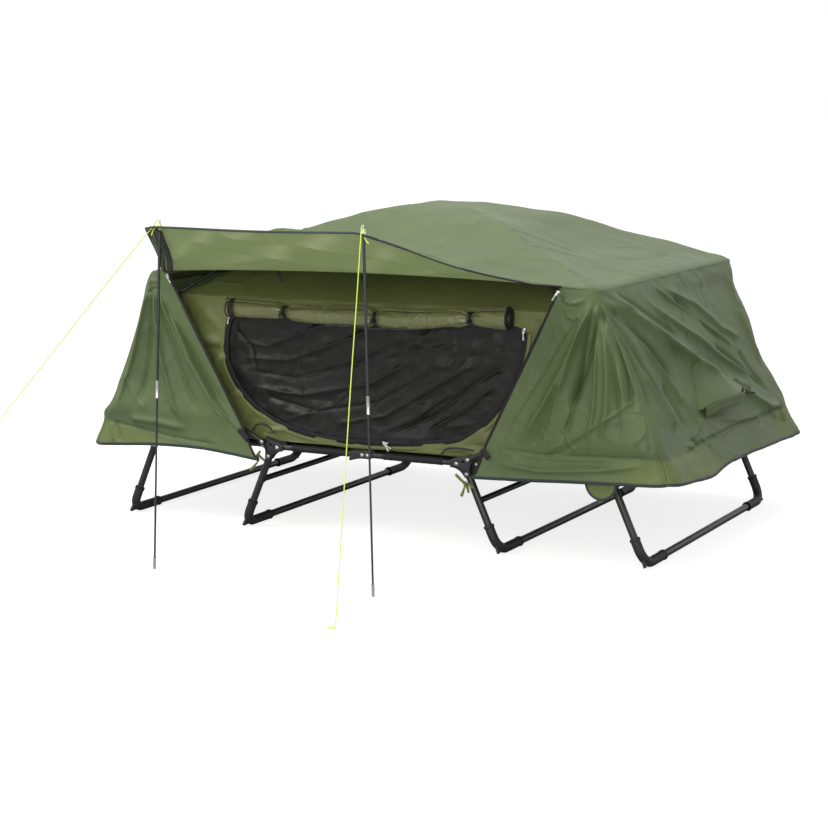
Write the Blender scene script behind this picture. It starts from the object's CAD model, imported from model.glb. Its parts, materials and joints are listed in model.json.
"""Tent cot: the looks of a folding camp bed that carries a domed tent with a raised awning."""

import json
import math

import bmesh
import bpy
import numpy as np
from mathutils import Matrix, Vector, noise

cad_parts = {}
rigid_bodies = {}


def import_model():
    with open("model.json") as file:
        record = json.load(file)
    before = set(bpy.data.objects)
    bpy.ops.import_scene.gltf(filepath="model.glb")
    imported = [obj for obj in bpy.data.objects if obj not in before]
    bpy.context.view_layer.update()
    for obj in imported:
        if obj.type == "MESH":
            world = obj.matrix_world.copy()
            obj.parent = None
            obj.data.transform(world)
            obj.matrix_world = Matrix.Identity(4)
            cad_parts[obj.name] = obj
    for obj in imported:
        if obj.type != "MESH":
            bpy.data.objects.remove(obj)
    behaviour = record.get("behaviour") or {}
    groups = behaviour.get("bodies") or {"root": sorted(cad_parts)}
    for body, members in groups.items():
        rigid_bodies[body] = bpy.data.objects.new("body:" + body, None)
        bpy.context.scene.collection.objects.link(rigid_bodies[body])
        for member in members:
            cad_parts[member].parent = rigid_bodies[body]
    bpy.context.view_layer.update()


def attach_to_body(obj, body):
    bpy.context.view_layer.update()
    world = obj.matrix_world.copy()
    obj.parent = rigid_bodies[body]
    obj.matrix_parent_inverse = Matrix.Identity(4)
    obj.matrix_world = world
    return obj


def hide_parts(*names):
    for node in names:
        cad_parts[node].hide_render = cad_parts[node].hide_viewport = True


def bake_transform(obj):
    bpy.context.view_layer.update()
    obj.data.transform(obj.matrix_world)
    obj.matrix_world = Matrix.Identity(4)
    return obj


for old in list(bpy.data.objects):
    bpy.data.objects.remove(old, do_unlink=True)
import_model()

# Driving sizes, in metres
SETBACK = 0.2796
GAP = 0.0003
CLOTH = 0.0014
TAPE = 0.0016
EDGE_TAPE = 0.0030
HEM_TAPE = (0.010, 0.0036)      # its width and its thickness
ZIP_PITCH = 0.0036
RAIL_Z = 0.278
RAIL_R = 0.0095
LEG_R = 0.0115
BOW_R = 0.008
ROOF_POLE_R = 0.00475
PLATE = 0.0025
RIVET_R = 0.003
RIVET_HEAD_R = 0.0055
RIVET_HEAD = 0.0025
LUG_R = 0.012
PLATE_CORNER_R = 0.004
MID_LANE = 0.560
PLATE_IN = MID_LANE - LEG_R - GAP
PLATE_OUT = MID_LANE + LEG_R + GAP
END_LANE = PLATE_IN - PLATE - GAP - RAIL_R
BOW_LANE = PLATE_OUT + PLATE + GAP + BOW_R
CENTRE_X = 0.010
RAIL_RIVET = (0.325, 0.278)
BOW_PIVOT = (0.372, 0.296)
LEG_PIVOT = (0.360, 0.247)
END_PIVOT = (0.386, 0.278)
PLATE_END_X = 0.303
PLATE_END_HALF = 0.0128
SADDLE = (0.829, 0.252)
SADDLE_LENGTH = 0.034
SADDLE_WALL = 0.002
FOOT_Z = 0.0142
MID_FOOT_X = 0.462
END_FOOT_X = 0.933
FOOT_BEND_R = 0.050
BOOT_WALL = 0.0032
BOOT_RIB = 0.0016
BOOT_LENGTH = 0.100
BOOT_RISE = 0.035
GUSSET = 0.009
CROSSBAR_R = 0.0095
CROSSBAR_Z = 0.165
END_X = 1.010
END_BEND_R = 0.060
BED_SPLIT_X = 0.450
HINGE_CLEAR_X = 0.064
BOW_TOP = (0.785, 0.805)
CROWN_Z = 1.040
POLE_SEAT_Y = 0.505
EAVE_X = 0.800
EAVE_Y = 0.600
EAVE_Z = 0.835
EAVE_LIFT = 0.022
ROOF_CLEAR = 0.0018
UNDER_ROOF = 0.002              # how far under the roof's edge the panels start
HEM_Y = 0.620
HEM_Z = 0.252
SKIRT_SEAM_Z = 0.345
EDGE_TOP_X = {"left": 0.722, "right": 0.686}
ZIP_FOOT_X = {"left": 0.366, "right": 0.396}
WALL_Y = 0.5416
AWNING_Y = 1.180
AWNING_X = {"left": -0.352, "right": 0.366}
AWNING_Z = 1.028
GROMMET_Y = 1.169
POLE_TOP_X = {"left": -0.335, "right": 0.348}
POLE_FOOT_X = {"left": -0.391, "right": 0.363}
POLE_SHOULDER_Z = 1.020
SPIKE_TOP_Z = 1.050
FERRULE_Z = 0.522
FERRULE_LENGTH = 0.053
GUY_R = 0.0015

# Where the cloth changes from one moving body to the next, across the cot
MIDDLE_GIVE = (0.050, 0.400)
END_GIVE = (0.580, 0.800)
END_CUT = 0.570

SIDES = (("left", -1), ("right", 1))
DEPTHS = (("front", -1), ("back", 1))


def world(point):
    """A point of the cot in the part's frame."""
    return Vector((point[0], point[1] + SETBACK, point[2]))


# Shading

def group(name, inputs, outputs):
    tree = bpy.data.node_groups.new(name, "ShaderNodeTree")
    for label, kind, value in inputs:
        socket = tree.interface.new_socket(name=label, in_out="INPUT", socket_type=kind)
        if value is not None:
            socket.default_value = value
    for label, kind in outputs:
        tree.interface.new_socket(name=label, in_out="OUTPUT", socket_type=kind)
    return tree, tree.nodes.new("NodeGroupInput"), tree.nodes.new("NodeGroupOutput")


def node(tree, kind, links=None, **values):
    """A node with its settings, its socket values and the sockets that feed it."""
    made = tree.nodes.new(kind)
    for key, value in values.items():
        if hasattr(made, key):
            setattr(made, key, value)
        else:
            made.inputs[key.replace("_", " ")].default_value = value
    for label, source in (links or {}).items():
        tree.links.new(source, made.inputs[label])
    return made


def math_node(tree, operation, first, second, clamp=False):
    made = tree.nodes.new("ShaderNodeMath")
    made.operation = operation
    made.use_clamp = clamp
    for slot_index, value in enumerate((first, second)):
        if hasattr(value, "type"):
            tree.links.new(value, made.inputs[slot_index])
        else:
            made.inputs[slot_index].default_value = value
    return made.outputs[0]


def ramp(tree, factor, low, high):
    """A value stretched from between two levels to between 0 and 1."""
    return node(tree, "ShaderNodeMapRange", {"Value": factor}, From_Min=low,
                From_Max=high).outputs["Result"]


def make_weave_group():
    """Plain weave from two crossed sets of threads, as a height and a thread mask."""
    tree, source, result = group("plain_weave", [("Vector", "NodeSocketVector", None),
                                                 ("Threads", "NodeSocketFloat", 900.0)],
                                 [("Height", "NodeSocketFloat")])
    split = node(tree, "ShaderNodeSeparateXYZ", {"Vector": source.outputs["Vector"]})
    turns = math_node(tree, "MULTIPLY", source.outputs["Threads"], 2 * math.pi)
    across = math_node(tree, "ADD", split.outputs["X"],
                       math_node(tree, "MULTIPLY", split.outputs["Y"], 0.37))
    along = math_node(tree, "ADD", split.outputs["Z"],
                      math_node(tree, "MULTIPLY", split.outputs["Y"], 0.61))
    warp = math_node(tree, "SINE", math_node(tree, "MULTIPLY", across, turns), 0)
    weft = math_node(tree, "SINE", math_node(tree, "MULTIPLY", along, turns), 0)
    height = math_node(tree, "MULTIPLY", warp, weft)
    tree.links.new(height, result.inputs["Height"])
    return tree


def make_crumple_group():
    """Soft creases of stored cloth: sharp fine ridges over slow waves."""
    tree, source, result = group("crumple", [("Vector", "NodeSocketVector", None),
                                             ("Scale", "NodeSocketFloat", 9.0),
                                             ("Crease", "NodeSocketFloat", 0.5)],
                                 [("Height", "NodeSocketFloat")])
    drift = node(tree, "ShaderNodeTexNoise", {"Vector": source.outputs["Vector"]},
                 Scale=5.0, Detail=3.0)
    moved = node(tree, "ShaderNodeMix", {"A": source.outputs["Vector"],
                                         "B": drift.outputs["Color"]},
                 data_type="VECTOR", Factor=0.12)
    cells = node(tree, "ShaderNodeTexVoronoi", {"Vector": moved.outputs["Result"],
                                                "Scale": source.outputs["Scale"]},
                 feature="DISTANCE_TO_EDGE")
    sharp = math_node(tree, "SUBTRACT", 1.0, ramp(tree, cells.outputs["Distance"], 0.0, 0.10))
    waves = node(tree, "ShaderNodeTexNoise", {"Vector": source.outputs["Vector"],
                                              "Scale": source.outputs["Scale"]}, Detail=4.0)
    fade = node(tree, "ShaderNodeTexNoise", {"Vector": source.outputs["Vector"]}, Scale=3.0)
    kept = math_node(tree, "MULTIPLY", sharp, ramp(tree, fade.outputs["Fac"], 0.45, 0.70))
    sharp_part = math_node(tree, "MULTIPLY", kept, source.outputs["Crease"])
    height = math_node(tree, "ADD", waves.outputs["Fac"], sharp_part)
    tree.links.new(height, result.inputs["Height"])
    return tree


def make_wear_group():
    """Broad and fine variation of a finish, as a mask around a half."""
    tree, source, result = group("wear", [("Vector", "NodeSocketVector", None),
                                          ("Scale", "NodeSocketFloat", 4.0)],
                                 [("Mask", "NodeSocketFloat")])
    broad = node(tree, "ShaderNodeTexNoise", {"Vector": source.outputs["Vector"],
                                              "Scale": source.outputs["Scale"]},
                 Detail=5.0, Roughness=0.6)
    fine = node(tree, "ShaderNodeTexNoise", {"Vector": source.outputs["Vector"]}, Scale=120.0)
    mask = math_node(tree, "ADD", math_node(tree, "MULTIPLY", broad.outputs["Fac"], 0.8),
                     math_node(tree, "MULTIPLY", fine.outputs["Fac"], 0.2))
    tree.links.new(mask, result.inputs["Mask"])
    return tree


WEAVE = make_weave_group()
CRUMPLE = make_crumple_group()
WEAR = make_wear_group()


def placed(tree, made_group, vector, **values):
    """A node group in a tree, and its first output."""
    holder = tree.nodes.new("ShaderNodeGroup")
    holder.node_tree = made_group
    tree.links.new(vector, holder.inputs["Vector"])
    for key, value in values.items():
        holder.inputs[key].default_value = value
    return holder.outputs[0]


def start_material(name, roughness, metallic=0.0, **sockets):
    material = bpy.data.materials.new(name)
    material.use_nodes = True
    tree = material.node_tree
    shader = tree.nodes["Principled BSDF"]
    shader.inputs["Roughness"].default_value = roughness
    shader.inputs["Metallic"].default_value = metallic
    for key, value in sockets.items():
        shader.inputs[key.replace("_", " ")].default_value = value
    place = tree.nodes.new("ShaderNodeTexCoord").outputs["Object"]
    return material, tree, shader, place


def colour_mix(tree, mask, dark, light):
    return node(tree, "ShaderNodeMix", {"Factor": mask}, data_type="RGBA", A=(*dark, 1),
                B=(*light, 1)).outputs["Result"]


def bump(tree, shader, height, distance, strength=1.0, after=None):
    made = node(tree, "ShaderNodeBump", {"Height": height}, Distance=distance, Strength=strength)
    if after:
        tree.links.new(after, made.inputs["Normal"])
    tree.links.new(made.outputs["Normal"], shader.inputs["Normal"])
    return made.outputs["Normal"]


THROUGH_COLOUR = (0.85, 0.95, 0.65, 1)


def cloth_material(name, dark, light, roughness, threads=700.0, crumple=0.0016, crease=0.6,
                   scale=11.0, sheen=0.15, through=0.0, clear=0.0, specular=0.3, tint=None):
    """Woven cloth with threads, fine crumples, an uneven dye and a second colour by attribute."""
    material, tree, shader, place = start_material(name, roughness, Sheen_Weight=sheen,
                                                   Sheen_Roughness=0.4, Coat_Weight=clear,
                                                   Coat_Roughness=0.3,
                                                   Specular_IOR_Level=specular)
    mask = ramp(tree, placed(tree, WEAR, place, Scale=3.5), 0.30, 0.70)
    colour = colour_mix(tree, mask, dark, light)
    if tint:
        share = node(tree, "ShaderNodeAttribute", attribute_name="tint")
        colour = node(tree, "ShaderNodeMix", {"Factor": share.outputs["Fac"], "A": colour},
                      data_type="RGBA", B=(*tint, 1)).outputs["Result"]
    tree.links.new(colour, shader.inputs["Base Color"])
    tree.links.new(math_node(tree, "ADD", roughness - 0.06,
                             math_node(tree, "MULTIPLY", mask, 0.12)), shader.inputs["Roughness"])
    creased = bump(tree, shader, placed(tree, CRUMPLE, place, Scale=scale, Crease=crease), crumple)
    bump(tree, shader, placed(tree, WEAVE, place, Threads=threads), 0.00012, 0.5, creased)
    if through:
        glow = node(tree, "ShaderNodeBsdfTranslucent", Color=THROUGH_COLOUR)
        both = node(tree, "ShaderNodeMixShader", Fac=through)
        tree.links.new(shader.outputs["BSDF"], both.inputs[1])
        tree.links.new(glow.outputs["BSDF"], both.inputs[2])
        tree.links.new(both.outputs["Shader"], tree.nodes["Material Output"].inputs["Surface"])
    return material


def metal_material(name, dark, light, roughness, metallic, grain=60.0, depth=0.0001, coat=0.0):
    material, tree, shader, place = start_material(name, roughness, metallic, Coat_Weight=coat,
                                                   Coat_Roughness=0.25)
    mask = ramp(tree, placed(tree, WEAR, place, Scale=grain / 4), 0.35, 0.65)
    tree.links.new(colour_mix(tree, mask, dark, light), shader.inputs["Base Color"])
    tree.links.new(math_node(tree, "ADD", roughness - 0.05,
                             math_node(tree, "MULTIPLY", mask, 0.10)), shader.inputs["Roughness"])
    grains = node(tree, "ShaderNodeTexNoise", {"Vector": place}, Scale=grain * 20, Detail=2.0)
    bump(tree, shader, grains.outputs["Fac"], depth)
    return material


STRANDS_ROUND = 2
STRANDS_PER_METRE = 260


def cord_material(name, dark, light):
    """Round braid: two crossed helices of bright strands along the cord's own map."""
    material, tree, shader, _ = start_material(name, 0.6, Sheen_Weight=0.3)
    mapped = tree.nodes.new("ShaderNodeTexCoord").outputs["UV"]
    split = node(tree, "ShaderNodeSeparateXYZ", {"Vector": mapped})
    twist = math_node(tree, "MULTIPLY", split.outputs["Y"], 2 * math.pi * STRANDS_ROUND)
    run = math_node(tree, "MULTIPLY", split.outputs["X"], 2 * math.pi * STRANDS_PER_METRE)
    one = math_node(tree, "SINE", math_node(tree, "ADD", run, twist), 0)
    two = math_node(tree, "SINE", math_node(tree, "SUBTRACT", run, twist), 0)
    braid = math_node(tree, "MAXIMUM", one, two)
    mask = ramp(tree, braid, -0.6, 0.9)
    tree.links.new(colour_mix(tree, mask, dark, light), shader.inputs["Base Color"])
    bump(tree, shader, braid, 0.0003)
    return material


BLACK = metal_material("black_powder_coat", (0.009, 0.0092, 0.0095), (0.017, 0.0175, 0.018), 0.42,
                       0.0, 70.0, 0.00012, 0.15)
STEEL = metal_material("plated_steel", (0.42, 0.42, 0.41), (0.62, 0.62, 0.61), 0.30, 0.9)
CHROME = metal_material("zip_chrome", (0.50, 0.50, 0.49), (0.75, 0.75, 0.74), 0.22, 1.0)
RUBBER = metal_material("boot_rubber", (0.008, 0.008, 0.009), (0.016, 0.016, 0.017), 0.62, 0.0,
                        50.0, 0.0002)
FIBRE = metal_material("fibreglass_rod", (0.010, 0.010, 0.010), (0.020, 0.020, 0.020), 0.35, 0.0)
NYLON = metal_material("toggle_nylon", (0.006, 0.006, 0.007), (0.014, 0.014, 0.015), 0.45, 0.0)
CLEAR = metal_material("clear_cap", (0.55, 0.55, 0.55), (0.7, 0.7, 0.7), 0.15, 0.0)
CLEAR.node_tree.nodes["Principled BSDF"].inputs["Transmission Weight"].default_value = 0.85
FLY = cloth_material("fly_cloth", (0.078, 0.111, 0.047), (0.115, 0.153, 0.066), 0.42, sheen=0.0,
                     crumple=0.0032, scale=8.0, crease=0.8, specular=0.24, through=0.04,
                     tint=(0.125, 0.160, 0.054))
AWNING = cloth_material("awning_cloth", (0.070, 0.101, 0.040), (0.103, 0.140, 0.056), 0.42,
                        sheen=0.0, crumple=0.0024, specular=0.24, through=0.22)
FLY_UNDER = cloth_material("fly_coated_side", (0.132, 0.165, 0.058), (0.168, 0.206, 0.076), 0.40,
                           sheen=0.03, crumple=0.0016, through=0.40, tint=(0.380, 0.400, 0.225))
INNER = cloth_material("inner_cloth", (0.125, 0.142, 0.046), (0.165, 0.186, 0.062), 0.40,
                       sheen=0.03, crumple=0.0034, scale=8.0, through=0.10, specular=0.45)
ROLLED = cloth_material("rolled_door_cloth", (0.108, 0.121, 0.041), (0.172, 0.185, 0.072), 0.28,
                        crumple=0.004, scale=14.0, crease=1.0, clear=0.3, specular=0.5)
BINDING = cloth_material("edge_binding", (0.018, 0.026, 0.025), (0.032, 0.042, 0.041), 0.6,
                         threads=500.0, crumple=0.0003)
WEBBING = cloth_material("black_webbing", (0.008, 0.008, 0.009), (0.018, 0.018, 0.019), 0.6,
                         threads=450.0, crumple=0.0004, sheen=0.03)
BED = cloth_material("bed_cloth", (0.006, 0.006, 0.007), (0.014, 0.014, 0.015), 0.6,
                     threads=450.0, crumple=0.0012, sheen=0.03)
NET = cloth_material("door_net", (0.005, 0.005, 0.005), (0.011, 0.011, 0.0105), 0.36,
                     threads=380.0, crumple=0.0034, scale=8.0, sheen=0.04, specular=0.32)
GUY = cord_material("neon_cord", (0.46, 0.66, 0.03), (0.72, 0.92, 0.12))


# Making and placing pieces

def linked(name, data):
    new = bpy.data.objects.new(name, data)
    bpy.context.scene.collection.objects.link(new)
    return new


def make_object(name, vertices, faces, material=None, smooth=True, angle=35):
    mesh = bpy.data.meshes.new(name)
    mesh.from_pydata([tuple(v) for v in vertices], [], faces)
    shaped = bmesh.new()
    shaped.from_mesh(mesh)
    bmesh.ops.recalc_face_normals(shaped, faces=shaped.faces)
    shaped.to_mesh(mesh)
    shaped.free()
    if smooth:
        mesh.shade_smooth()
        mesh.set_sharp_from_angle(angle=math.radians(angle))
    if material:
        mesh.materials.append(material)
    return linked(name, mesh)


def baked(shape):
    """The shape with its modifiers applied, as one plain mesh."""
    bpy.context.view_layer.update()
    evaluated = shape.evaluated_get(bpy.context.evaluated_depsgraph_get())
    mesh = bpy.data.meshes.new_from_object(evaluated)
    shape.modifiers.clear()
    shape.data = mesh
    return shape


def combine(base, parts, operation):
    for part in parts:
        step = base.modifiers.new(part.name, "BOOLEAN")
        step.operation = operation
        step.solver = "EXACT"
        step.object = part
    baked(base)
    for part in parts:
        bpy.data.objects.remove(part, do_unlink=True)
    return base


def joined(name, parts):
    """Several meshes as one object, each face with its own finish."""
    merged = bmesh.new()
    finishes = []
    for part in parts:
        start = len(merged.faces)
        merged.from_mesh(part.data)
        merged.faces.ensure_lookup_table()
        slots = []
        for material in part.data.materials:
            if material not in finishes:
                finishes.append(material)
            slots.append(finishes.index(material))
        for face in merged.faces[start:]:
            face.material_index = slots[face.material_index] if slots else 0
    mesh = bpy.data.meshes.new(name)
    merged.to_mesh(mesh)
    merged.free()
    for material in finishes:
        mesh.materials.append(material)
    for part in parts:
        bpy.data.objects.remove(part, do_unlink=True)
    return linked(name, mesh)


def softened(shape, width):
    """The shape's hard edges rounded off."""
    sharp = math.radians(40)
    step = shape.modifiers.new("edge", "BEVEL")
    step.width = width
    step.segments = 2
    step.limit_method = "ANGLE"
    step.angle_limit = sharp
    baked(shape)
    shape.data.shade_smooth()
    shape.data.set_sharp_from_angle(angle=sharp)
    return shape


def refinished(shape, material):
    shape.data.materials.clear()
    shape.data.materials.append(material)
    return shape


def settled(shape, side=1, depth=1):
    """The shape turned to its side of the cot and moved into the part's frame."""
    if side < 0:
        shape.data.transform(Matrix.Scale(-1, 4, (1, 0, 0)))
    if depth < 0:
        shape.data.transform(Matrix.Scale(-1, 4, (0, 1, 0)))
    if side * depth < 0:
        shape.data.flip_normals()
    shape.data.transform(Matrix.Translation((0, SETBACK, 0)))
    return shape


def attach(shape, body, slot, *nodes):
    """The shape riding on a body, with its finish slot and the nodes that it replaces."""
    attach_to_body(shape, body)
    if nodes:
        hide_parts(*nodes)
    return shape


def rounded_path(corners, radii, steps=10):
    """A line through corners, each but the first and last rounded by its radius."""
    points = [Vector(corners[0])]
    for before, corner, after, radius in zip(corners, corners[1:], corners[2:], radii):
        corner = Vector(corner)
        to_before = (Vector(before) - corner).normalized()
        to_after = (Vector(after) - corner).normalized()
        half = to_before.angle(to_after) / 2
        reach = radius / math.tan(half)
        centre = corner + (to_before + to_after).normalized() * (radius / math.sin(half))
        start = corner + to_before * reach - centre
        normal = to_before.cross(to_after).normalized()
        sweep = -(math.pi - 2 * half)
        points += [centre + Matrix.Rotation(sweep * k / steps, 3, normal) @ start
                   for k in range(steps + 1)]
    points.append(Vector(corners[-1]))
    return points


def directions(path):
    runs = [(b - a).normalized() for a, b in zip(path, path[1:])]
    return [runs[0]] + [(a + b).normalized() for a, b in zip(runs, runs[1:])] + [runs[-1]]


def ring_faces(rings, sides):
    """The faces between rings of points, with a flat cap on each end."""
    faces = [[k * sides + s, k * sides + (s + 1) % sides,
              (k + 1) * sides + (s + 1) % sides, (k + 1) * sides + s]
             for k in range(rings - 1) for s in range(sides)]
    return faces + [list(range(sides)), list(range((rings - 1) * sides, rings * sides))]


def tube(name, path, radius, material=None, sides=24, pivot_axis=None, radii=None, up=None):
    """A round bar along a path. With a pivot axis, both ends are rounded about that axis."""
    path = [Vector(p) for p in path]
    heading = directions(path)
    side_axis = Vector(up) if up else Vector((0, 1, 0))
    if abs(side_axis.dot(heading[0])) > math.cos(math.radians(20)):
        side_axis = Vector((0, 0, 1))
    side_axis = (side_axis - heading[0] * side_axis.dot(heading[0])).normalized()
    rings = []
    for k, (centre, along) in enumerate(zip(path, heading)):
        if k:
            side_axis = heading[k - 1].rotation_difference(along) @ side_axis
        other = along.cross(side_axis).normalized()
        size = radii[k] if radii else radius
        rings.append([centre + size * (math.cos(a) * side_axis + math.sin(a) * other)
                      for a in (2 * math.pi * (s + 0.5) / sides for s in range(sides))])
    if pivot_axis:
        for at_start in (True, False):
            rings = rings if at_start else rings[::-1]
            centre = path[0] if at_start else path[-1]
            out = -heading[0] if at_start else heading[-1]
            thin = out.cross(Vector(pivot_axis)).normalized()
            base = rings[0]
            for degrees in (18, 36, 54, 70, 82):
                angle = math.radians(degrees)
                squeeze = 1 - math.cos(angle)
                ring = [p - thin * (p - centre).dot(thin) * squeeze for p in base]
                rings.insert(0, [p + out * radius * math.sin(angle) for p in ring])
            rings = rings if at_start else rings[::-1]
    vertices = [p for ring in rings for p in ring]
    return make_object(name, vertices, ring_faces(len(rings), sides), material)


def turned(name, centre, profile, axis=(0, 1, 0), sides=24, material=None):
    axis = Vector(axis).normalized()
    side_axis = axis.orthogonal().normalized()
    other = axis.cross(side_axis)
    vertices = []
    for along, radius in profile:
        for s in range(sides):
            angle = 2 * math.pi * (s + 0.5) / sides
            out = math.cos(angle) * side_axis + math.sin(angle) * other
            vertices.append(Vector(centre) + axis * along + out * radius)
    return make_object(name, vertices, ring_faces(len(profile), sides), material)


def block(name, low, high, material=None):
    vertices = [(x, y, z) for x in (low[0], high[0]) for y in (low[1], high[1])
                for z in (low[2], high[2])]
    faces = [(0, 1, 3, 2), (4, 6, 7, 5), (0, 4, 5, 1), (2, 3, 7, 6), (0, 2, 6, 4), (1, 5, 7, 3)]
    return make_object(name, vertices, faces, material, smooth=False)


def prism(name, outline, shift, material=None):
    count = len(outline)
    shift = Vector(shift)
    vertices = [Vector(p) for p in outline] + [Vector(p) + shift for p in outline]
    faces = [list(range(count)), list(range(count, 2 * count))]
    faces += [[k, (k + 1) % count, count + (k + 1) % count, count + k] for k in range(count)]
    return make_object(name, vertices, faces, material)


def lug_outline(lugs, waist_shares, y, steps=8, waist_steps=6):
    """A plate's outline round its lugs, given anticlockwise as (x, z, radius)."""
    sides = []
    for k, (x, z, radius) in enumerate(lugs):
        next_x, next_z, next_radius = lugs[(k + 1) % len(lugs)]
        span = math.hypot(next_x - x, next_z - z)
        heading = math.atan2(next_z - z, next_x - x)
        sides.append(heading - math.pi / 2 + math.asin((radius - next_radius) / span))
    points = []
    for k, (x, z, radius) in enumerate(lugs):
        start = sides[k - 1]
        sweep = (sides[k] - start) % (2 * math.pi)
        for s in range(steps + 1):
            angle = start + sweep * s / steps
            points.append((x + radius * math.cos(angle), z + radius * math.sin(angle)))
        if waist_shares[k]:
            next_x, next_z, next_radius = lugs[(k + 1) % len(lugs)]
            edge = sides[k]
            first = points[-1]
            last = (next_x + next_radius * math.cos(edge), next_z + next_radius * math.sin(edge))
            span = math.dist(first, last)
            for s in range(1, waist_steps + 1):
                share = s / (waist_steps + 1)
                dip = waist_shares[k] * span * 4 * share * (1 - share)
                points.append((first[0] + (last[0] - first[0]) * share - dip * math.cos(edge),
                               first[1] + (last[1] - first[1]) * share - dip * math.sin(edge)))
    return [(px, y, pz) for px, pz in points]


def mix(a, b, share):
    return a + (b - a) * share


# Repeated pieces, made by node trees

def start_tree(name, sizes):
    tree = bpy.data.node_groups.new(name, "GeometryNodeTree")
    tree.interface.new_socket(name="Geometry", in_out="INPUT", socket_type="NodeSocketGeometry")
    for label, value in sizes:
        kind = "NodeSocketInt" if isinstance(value, int) else "NodeSocketFloat"
        socket = tree.interface.new_socket(name=label, in_out="INPUT", socket_type=kind)
        socket.default_value = value
    tree.interface.new_socket(name="Finish", in_out="INPUT", socket_type="NodeSocketMaterial")
    tree.interface.new_socket(name="Geometry", in_out="OUTPUT", socket_type="NodeSocketGeometry")
    return tree, tree.nodes.new("NodeGroupInput"), tree.nodes.new("NodeGroupOutput")


def end_tree(tree, source, result, geometry):
    real = node(tree, "GeometryNodeRealizeInstances", {"Geometry": geometry})
    finish = node(tree, "GeometryNodeSetMaterial", {"Geometry": real.outputs["Geometry"],
                                                    "Material": source.outputs["Finish"]})
    tree.links.new(finish.outputs["Geometry"], result.inputs["Geometry"])
    return tree


def facing_of(tree):
    """The direction that each point carries with it."""
    return node(tree, "GeometryNodeInputNamedAttribute", data_type="FLOAT_VECTOR",
                Name="facing").outputs["Attribute"]


def make_rivet_tree():
    """A domed rivet head on a washer at every point, turned to the point's direction."""
    tree, source, result = start_tree("rivet_heads", [("Head radius", RIVET_HEAD_R),
                                                      ("Head height", RIVET_HEAD)])
    radius, height = source.outputs["Head radius"], source.outputs["Head height"]
    head = node(tree, "GeometryNodeMeshUVSphere", {"Radius": radius}, Segments=20, Rings=10)
    flat = math_node(tree, "DIVIDE", height, radius)
    size = node(tree, "ShaderNodeCombineXYZ", {"Z": flat}, X=1.0, Y=1.0)
    dome = node(tree, "GeometryNodeTransform", {"Geometry": head.outputs["Mesh"],
                                                "Scale": size.outputs["Vector"]})
    washer = node(tree, "GeometryNodeMeshCylinder",
                  {"Radius": math_node(tree, "MULTIPLY", radius, 1.25),
                   "Depth": math_node(tree, "MULTIPLY", height, 0.35)}, Vertices=24)
    both = tree.nodes.new("GeometryNodeJoinGeometry")
    tree.links.new(dome.outputs["Geometry"], both.inputs["Geometry"])
    tree.links.new(washer.outputs["Mesh"], both.inputs["Geometry"])
    aim = node(tree, "FunctionNodeAlignRotationToVector", {"Vector": facing_of(tree)}, axis="Z")
    spread = node(tree, "GeometryNodeInstanceOnPoints",
                  {"Points": source.outputs["Geometry"], "Instance": both.outputs["Geometry"],
                   "Rotation": aim.outputs["Rotation"]})
    smooth = node(tree, "GeometryNodeSetShadeSmooth", {"Geometry": spread.outputs["Instances"]})
    return end_tree(tree, source, result, smooth.outputs["Geometry"])


def make_along_tree():
    """Small blocks in a row along a line, such as zip teeth or stitches, turned to its surface."""
    tree, source, result = start_tree("row_along_line", [("Pitch", 0.003), ("Length", 0.0022),
                                                         ("Width", 0.004), ("Height", 0.001)])
    curve = node(tree, "GeometryNodeMeshToCurve", {"Mesh": source.outputs["Geometry"]})
    spaced = node(tree, "GeometryNodeResampleCurve",
                  {"Curve": curve.outputs["Curve"], "Length": source.outputs["Pitch"]},
                  mode="LENGTH")
    size = node(tree, "ShaderNodeCombineXYZ",
                {"X": source.outputs["Width"], "Y": source.outputs["Height"],
                 "Z": source.outputs["Length"]})
    cell = node(tree, "GeometryNodeMeshCube", {"Size": size.outputs["Vector"]})
    tangent = tree.nodes.new("GeometryNodeInputTangent")
    aim = node(tree, "FunctionNodeAlignRotationToVector",
               {"Vector": tangent.outputs["Tangent"]}, axis="Z")
    turn = node(tree, "FunctionNodeAlignRotationToVector",
                {"Rotation": aim.outputs["Rotation"], "Vector": facing_of(tree)},
                axis="Y", pivot_axis="Z")
    spread = node(tree, "GeometryNodeInstanceOnPoints",
                  {"Points": spaced.outputs["Curve"], "Instance": cell.outputs["Mesh"],
                   "Rotation": turn.outputs["Rotation"]})
    return end_tree(tree, source, result, spread.outputs["Instances"])


def make_band_tree():
    """A flat band with rounded edges along a line, such as an edge binding or a zip tape."""
    tree, source, result = start_tree("band_along_line", [("Width", 0.010), ("Thickness", 0.002)])
    curve = node(tree, "GeometryNodeMeshToCurve", {"Mesh": source.outputs["Geometry"]})
    held = node(tree, "GeometryNodeSetCurveNormal",
                {"Curve": curve.outputs["Curve"], "Normal": facing_of(tree)}, mode="FREE")
    ring = node(tree, "GeometryNodeCurvePrimitiveCircle", Resolution=12, Radius=0.5)
    size = node(tree, "ShaderNodeCombineXYZ", {"X": source.outputs["Thickness"],
                                               "Y": source.outputs["Width"]}, Z=1.0)
    profile = node(tree, "GeometryNodeTransform", {"Geometry": ring.outputs["Curve"],
                                                   "Scale": size.outputs["Vector"]})
    swept = node(tree, "GeometryNodeCurveToMesh",
                 {"Curve": held.outputs["Curve"], "Profile Curve": profile.outputs["Geometry"]},
                 Fill_Caps=True)
    smooth = node(tree, "GeometryNodeSetShadeSmooth", {"Geometry": swept.outputs["Mesh"]})
    return end_tree(tree, source, result, smooth.outputs["Geometry"])


RIVET_TREE = make_rivet_tree()
ALONG_TREE = make_along_tree()
BAND_TREE = make_band_tree()


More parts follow.
